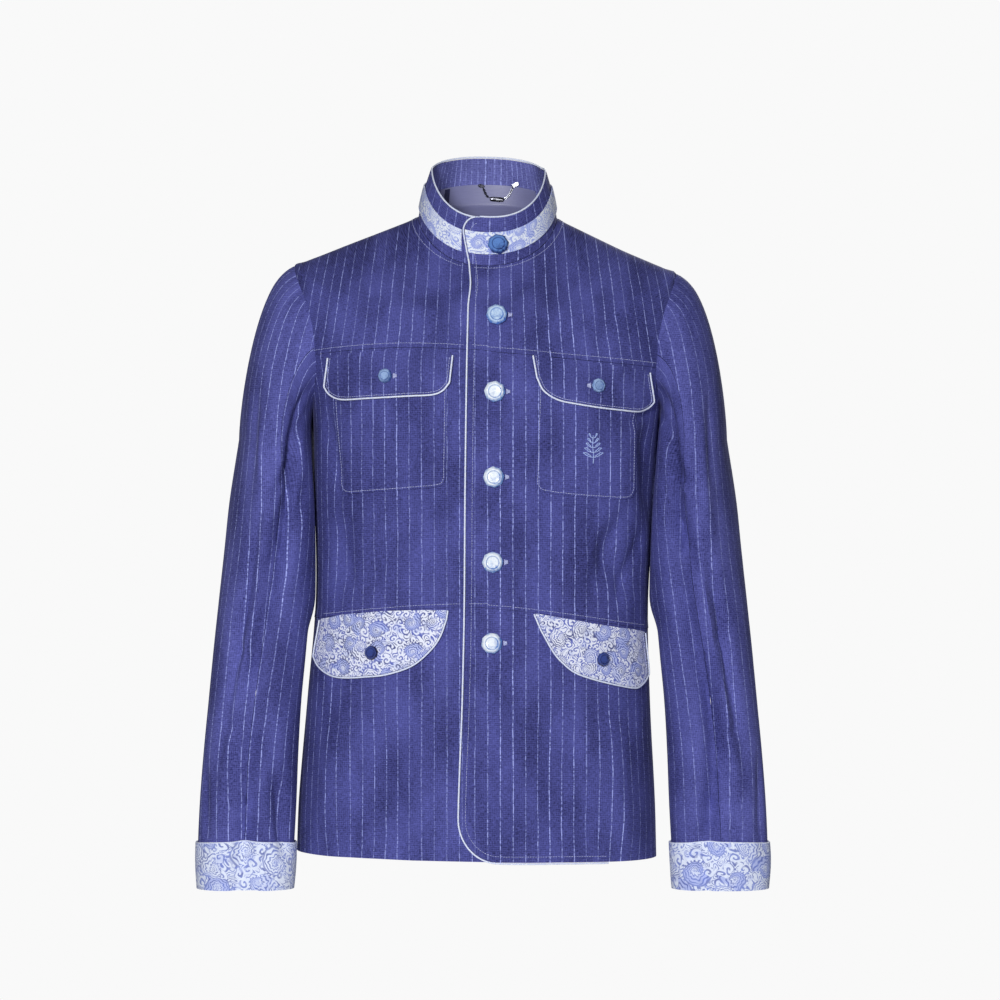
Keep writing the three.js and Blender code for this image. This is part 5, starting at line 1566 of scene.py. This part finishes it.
def chain(black, bright, grey):
    plate = CHAIN_PLATE
    middle = (plate["x_from"] + plate["x_to"]) / 2
    width = plate["x_to"] - plate["x_from"]
    centre = lining_spot(middle, plate["z"], 2.2)
    bar = rounded_bar(centre, (width, 1.2, 5.2), 4)
    clothe(trim_piece("chain_plate_bar", [bar], "chain_metal", "chain_plate", sharp=30), black)
    groove = rounded_bar(centre + np.array([0, -0.75, 0]), (width * 0.84, 0.4, 1.5), 4)
    clothe(trim_piece("chain_plate_line", [groove], "chain_metal", sharp=30), grey)
    (x1, z1), (x2, z2) = CHAIN_ENDS
    oval = rounded_bar(lining_spot(x1, z1, 1.4), (7.4, 1.6, 4.2), 10, corner=1.0)
    clothe(trim_piece("chain_tab_right_oval", [oval], "chain_metal", "chain_tab_right", sharp=30), black)
    block = rounded_bar(lining_spot(x2, z2, 1.4), (8.4, 1.6, 4.4), -28, corner=0.3)
    clothe(trim_piece("chain_tab_left_block", [block], "chain_metal", "chain_tab_left", sharp=30), bright)
    chain_links((x1 + 2.4, z1 - 3.2), (plate["x_from"] - 1, plate["z"] + 2), "chain_links_right", "chain_run_right", black)
    chain_links((plate["x_to"] + 1, plate["z"] + 0.4), (x2 - 3.6, z2 - 4), "chain_links_left", "chain_run_left", grey)


# A small plain sprig of leaves, embroidered on the left chest pocket.
def sprig(thread, generator):
    centre_x, centre_z, height = 112.0, -262.0, 30.0
    strokes = [[(0, -0.5), (0.02, -0.2), (-0.02, 0.1), (0.0, 0.5)]]
    for index in range(5):
        rise = -0.28 + 0.17 * index
        for side in (-1, 1):
            reach = 0.36 - 0.05 * index
            strokes.append([(0, rise), (side * reach * 0.5, rise + 0.04), (side * reach, rise + 0.16)])
            strokes.append([(side * reach, rise + 0.16), (side * reach * 0.7, rise + 0.17), (side * 0.08, rise + 0.05)])
    parts = []
    for stroke in strokes:
        points = np.array(stroke, float) * height
        at = np.linspace(0, len(points) - 1, 9)
        x = centre_x + np.interp(at, np.arange(len(points)), points[:, 0])
        z = centre_z + np.interp(at, np.arange(len(points)), points[:, 1])
        line = front_spot(x, z, POCKET_LIFT + PATCH_WALL + 0.15, True)
        parts.append(cord_mesh(line[0], line[1], 0.5, 5))
        parts += stitch_parts(line[0], line[1], generator, 1.8, 2.0, 0.4)
    clothe(trim_piece("pocket_sprig", parts, "piping"), thread)


# Room, light and camera
CAMERA = {"x": 0.0132, "y": -4.0, "z": -0.316, "lens": 130.9, "sensor": 36}
FLOOR_Z = -1.0
FLOOR_RADIUS = 840


def stage():
    turns = np.linspace(0, 2 * np.pi, 65)[:-1]
    ring = np.stack([FLOOR_RADIUS * np.cos(turns), FLOOR_RADIUS * np.sin(turns), np.full(64, FLOOR_Z / MM)], axis=1)
    floor = new_piece("floor", ring, [tuple(range(64))])
    n = Nodes("floor_paint")
    grain = n.noise(n.place(), 8.0, 3.0)
    n.link(n.mix(grain, colour(240, 240, 241), colour(247, 247, 248)), "Base Color")
    n.set(Roughness=0.9)
    clothe(floor, n.material)


def area_light(name, place, aim, size, power, tint=(1, 1, 1)):
    data = bpy.data.lights.new(name, "AREA")
    data.shape, data.size, data.size_y = "RECTANGLE", size[0], size[1]
    data.energy, data.color = power, tint
    lamp = bpy.data.objects.new(name, data)
    lamp.location = place
    lamp.rotation_euler = (Vector(aim) - Vector(place)).to_track_quat("-Z", "Y").to_euler()
    bpy.context.scene.collection.objects.link(lamp)


def light_and_camera():
    aim = (0, 0, -0.3)
    area_light("key", (-0.75, -3.7, 0.25), aim, (0.7, 0.7), 92)
    area_light("fill", (0.9, -3.7, -0.3), aim, (1.0, 1.0), 30)
    area_light("top", (-0.2, -0.4, 2.4), aim, (1.4, 1.0), 3)
    area_light("rear", (0.6, 3.0, 0.9), aim, (1.4, 1.4), 60)
    bpy.context.scene.view_settings.view_transform = "Standard"
    world = bpy.data.worlds.new("room")
    world.use_nodes = True
    bpy.context.scene.world = world
    tree = world.node_tree
    back = next(node for node in tree.nodes if node.type == "BACKGROUND")
    path = tree.nodes.new("ShaderNodeLightPath")
    strength = tree.nodes.new("ShaderNodeMapRange")
    strength.inputs["To Min"].default_value = 0.12
    strength.inputs["To Max"].default_value = 1.0
    tree.links.new(path.outputs["Is Camera Ray"], strength.inputs["Value"])
    tree.links.new(strength.outputs[0], back.inputs["Strength"])
    back.inputs["Color"].default_value = colour(249, 249, 249)
    data = bpy.data.cameras.new("camera")
    data.lens, data.sensor_width = CAMERA["lens"], CAMERA["sensor"]
    data.clip_end = 100
    camera = bpy.data.objects.new("camera", data)
    camera.location = (CAMERA["x"], CAMERA["y"], CAMERA["z"])
    camera.rotation_euler = (math.pi / 2, 0, 0)
    bpy.context.scene.collection.objects.link(camera)
    bpy.context.scene.camera = camera


# Painted light and shade: the same striped cloth is painted a little darker on the body, for the shade at its sides,
# and lighter on the top sleeves, for the light on them, than on the under sleeves and the collar.
BODY_CLOTH_PAINTED_SHADE = {"dark": (23, 25, 74), "light": (94, 98, 178)}
SLEEVE_TOP_CLOTH_PAINTED_LIGHT = {"dark": (30, 32, 90), "light": (108, 112, 194)}


def dress():
    generator = np.random.default_rng(SEED)
    right = striped_material("stripes_right", -30, **BODY_CLOTH_PAINTED_SHADE)
    left = striped_material("stripes_left", 0, **BODY_CLOTH_PAINTED_SHADE)
    back_cloth = striped_material("stripes_back", 4, **BODY_CLOTH_PAINTED_SHADE)
    collar_cloth = striped_material("stripes_collar", 5)
    collar_inside = striped_material("stripes_collar_inside", 2, dark=(48, 50, 106), light=(122, 126, 200), pitch=6.6)
    sleeve_top = striped_material("stripes_sleeve_top", 3, **SLEEVE_TOP_CLOTH_PAINTED_LIGHT)
    sleeve_cloths = [sleeve_top, striped_material("stripes_sleeve_under", 1)]
    paisley = paisley_material("paisley_small", 24, 0.95, line=(78, 92, 184), dark=(28, 32, 96), darkness=0.75)
    paisley_cuff = paisley_material("paisley_cuff", 34, 0.85, pale=(228, 236, 255), line=(104, 122, 204), dark=(58, 66, 140), darkness=0.55)
    paisley_band = paisley_material("paisley_band", 22, 0.7, pale=(236, 243, 255), line=(112, 132, 226), dark=(60, 72, 160), darkness=0.35)
    piping = thread_material("piping_cord", (204, 214, 250), (238, 243, 255))
    thread = thread_material("pale_thread", (150, 156, 205), (196, 202, 238))
    embroidery = thread_material("sprig_thread", (140, 160, 222), (186, 204, 246))
    satin = satin_material("lining_satin", (104, 105, 146), (136, 138, 182))
    dark_strip = thread_material("dark_strip_weave", (24, 26, 60), (40, 42, 84))
    fronts(right, left)
    back(back_cloth)
    for name, side in (("right", -1), ("left", 1)):
        sleeve(name, side, sleeve_cloths)
        cuff(name, side, paisley_cuff, piping)
    collar(collar_cloth, collar_inside, paisley_band)
    pockets_and_flaps((right, left), paisley, piping, thread, generator)
    collar_piping(piping)
    front_piping(piping)
    seam_stitches(thread, generator)
    shells = {
        "front": pearl_material("pearl_white", (84, 124, 196), (240, 247, 255), (184, 212, 246)),
        "light": pearl_material("pearl_light_blue", (70, 108, 190), (200, 224, 250), (120, 160, 220)),
        "collar": pearl_material("shell_blue", (28, 44, 104), (96, 138, 208), (58, 92, 168)),
        "blue": pearl_material("shell_silver_blue", (52, 78, 140), (150, 178, 222), (86, 118, 186)),
        "navy": pearl_material("shell_navy", (16, 20, 56), (58, 76, 148), (26, 34, 92)),
    }
    buttons(shells, thread, generator)
    lining(satin, dark_strip)
    black = metal_material("black_metal", (14, 14, 18), (44, 44, 52), 0.2, 0.4)
    bright = metal_material("bright_metal", (196, 198, 204), (238, 240, 244), 0.12, 0.3)
    grey = metal_material("grey_metal", (120, 122, 130), (160, 162, 170), 0.2, 0.4)
    chain(black, bright, grey)
    sprig(embroidery, generator)


dress()
stage()
light_and_camera()
print("FLAT", FLAT_SIZES)
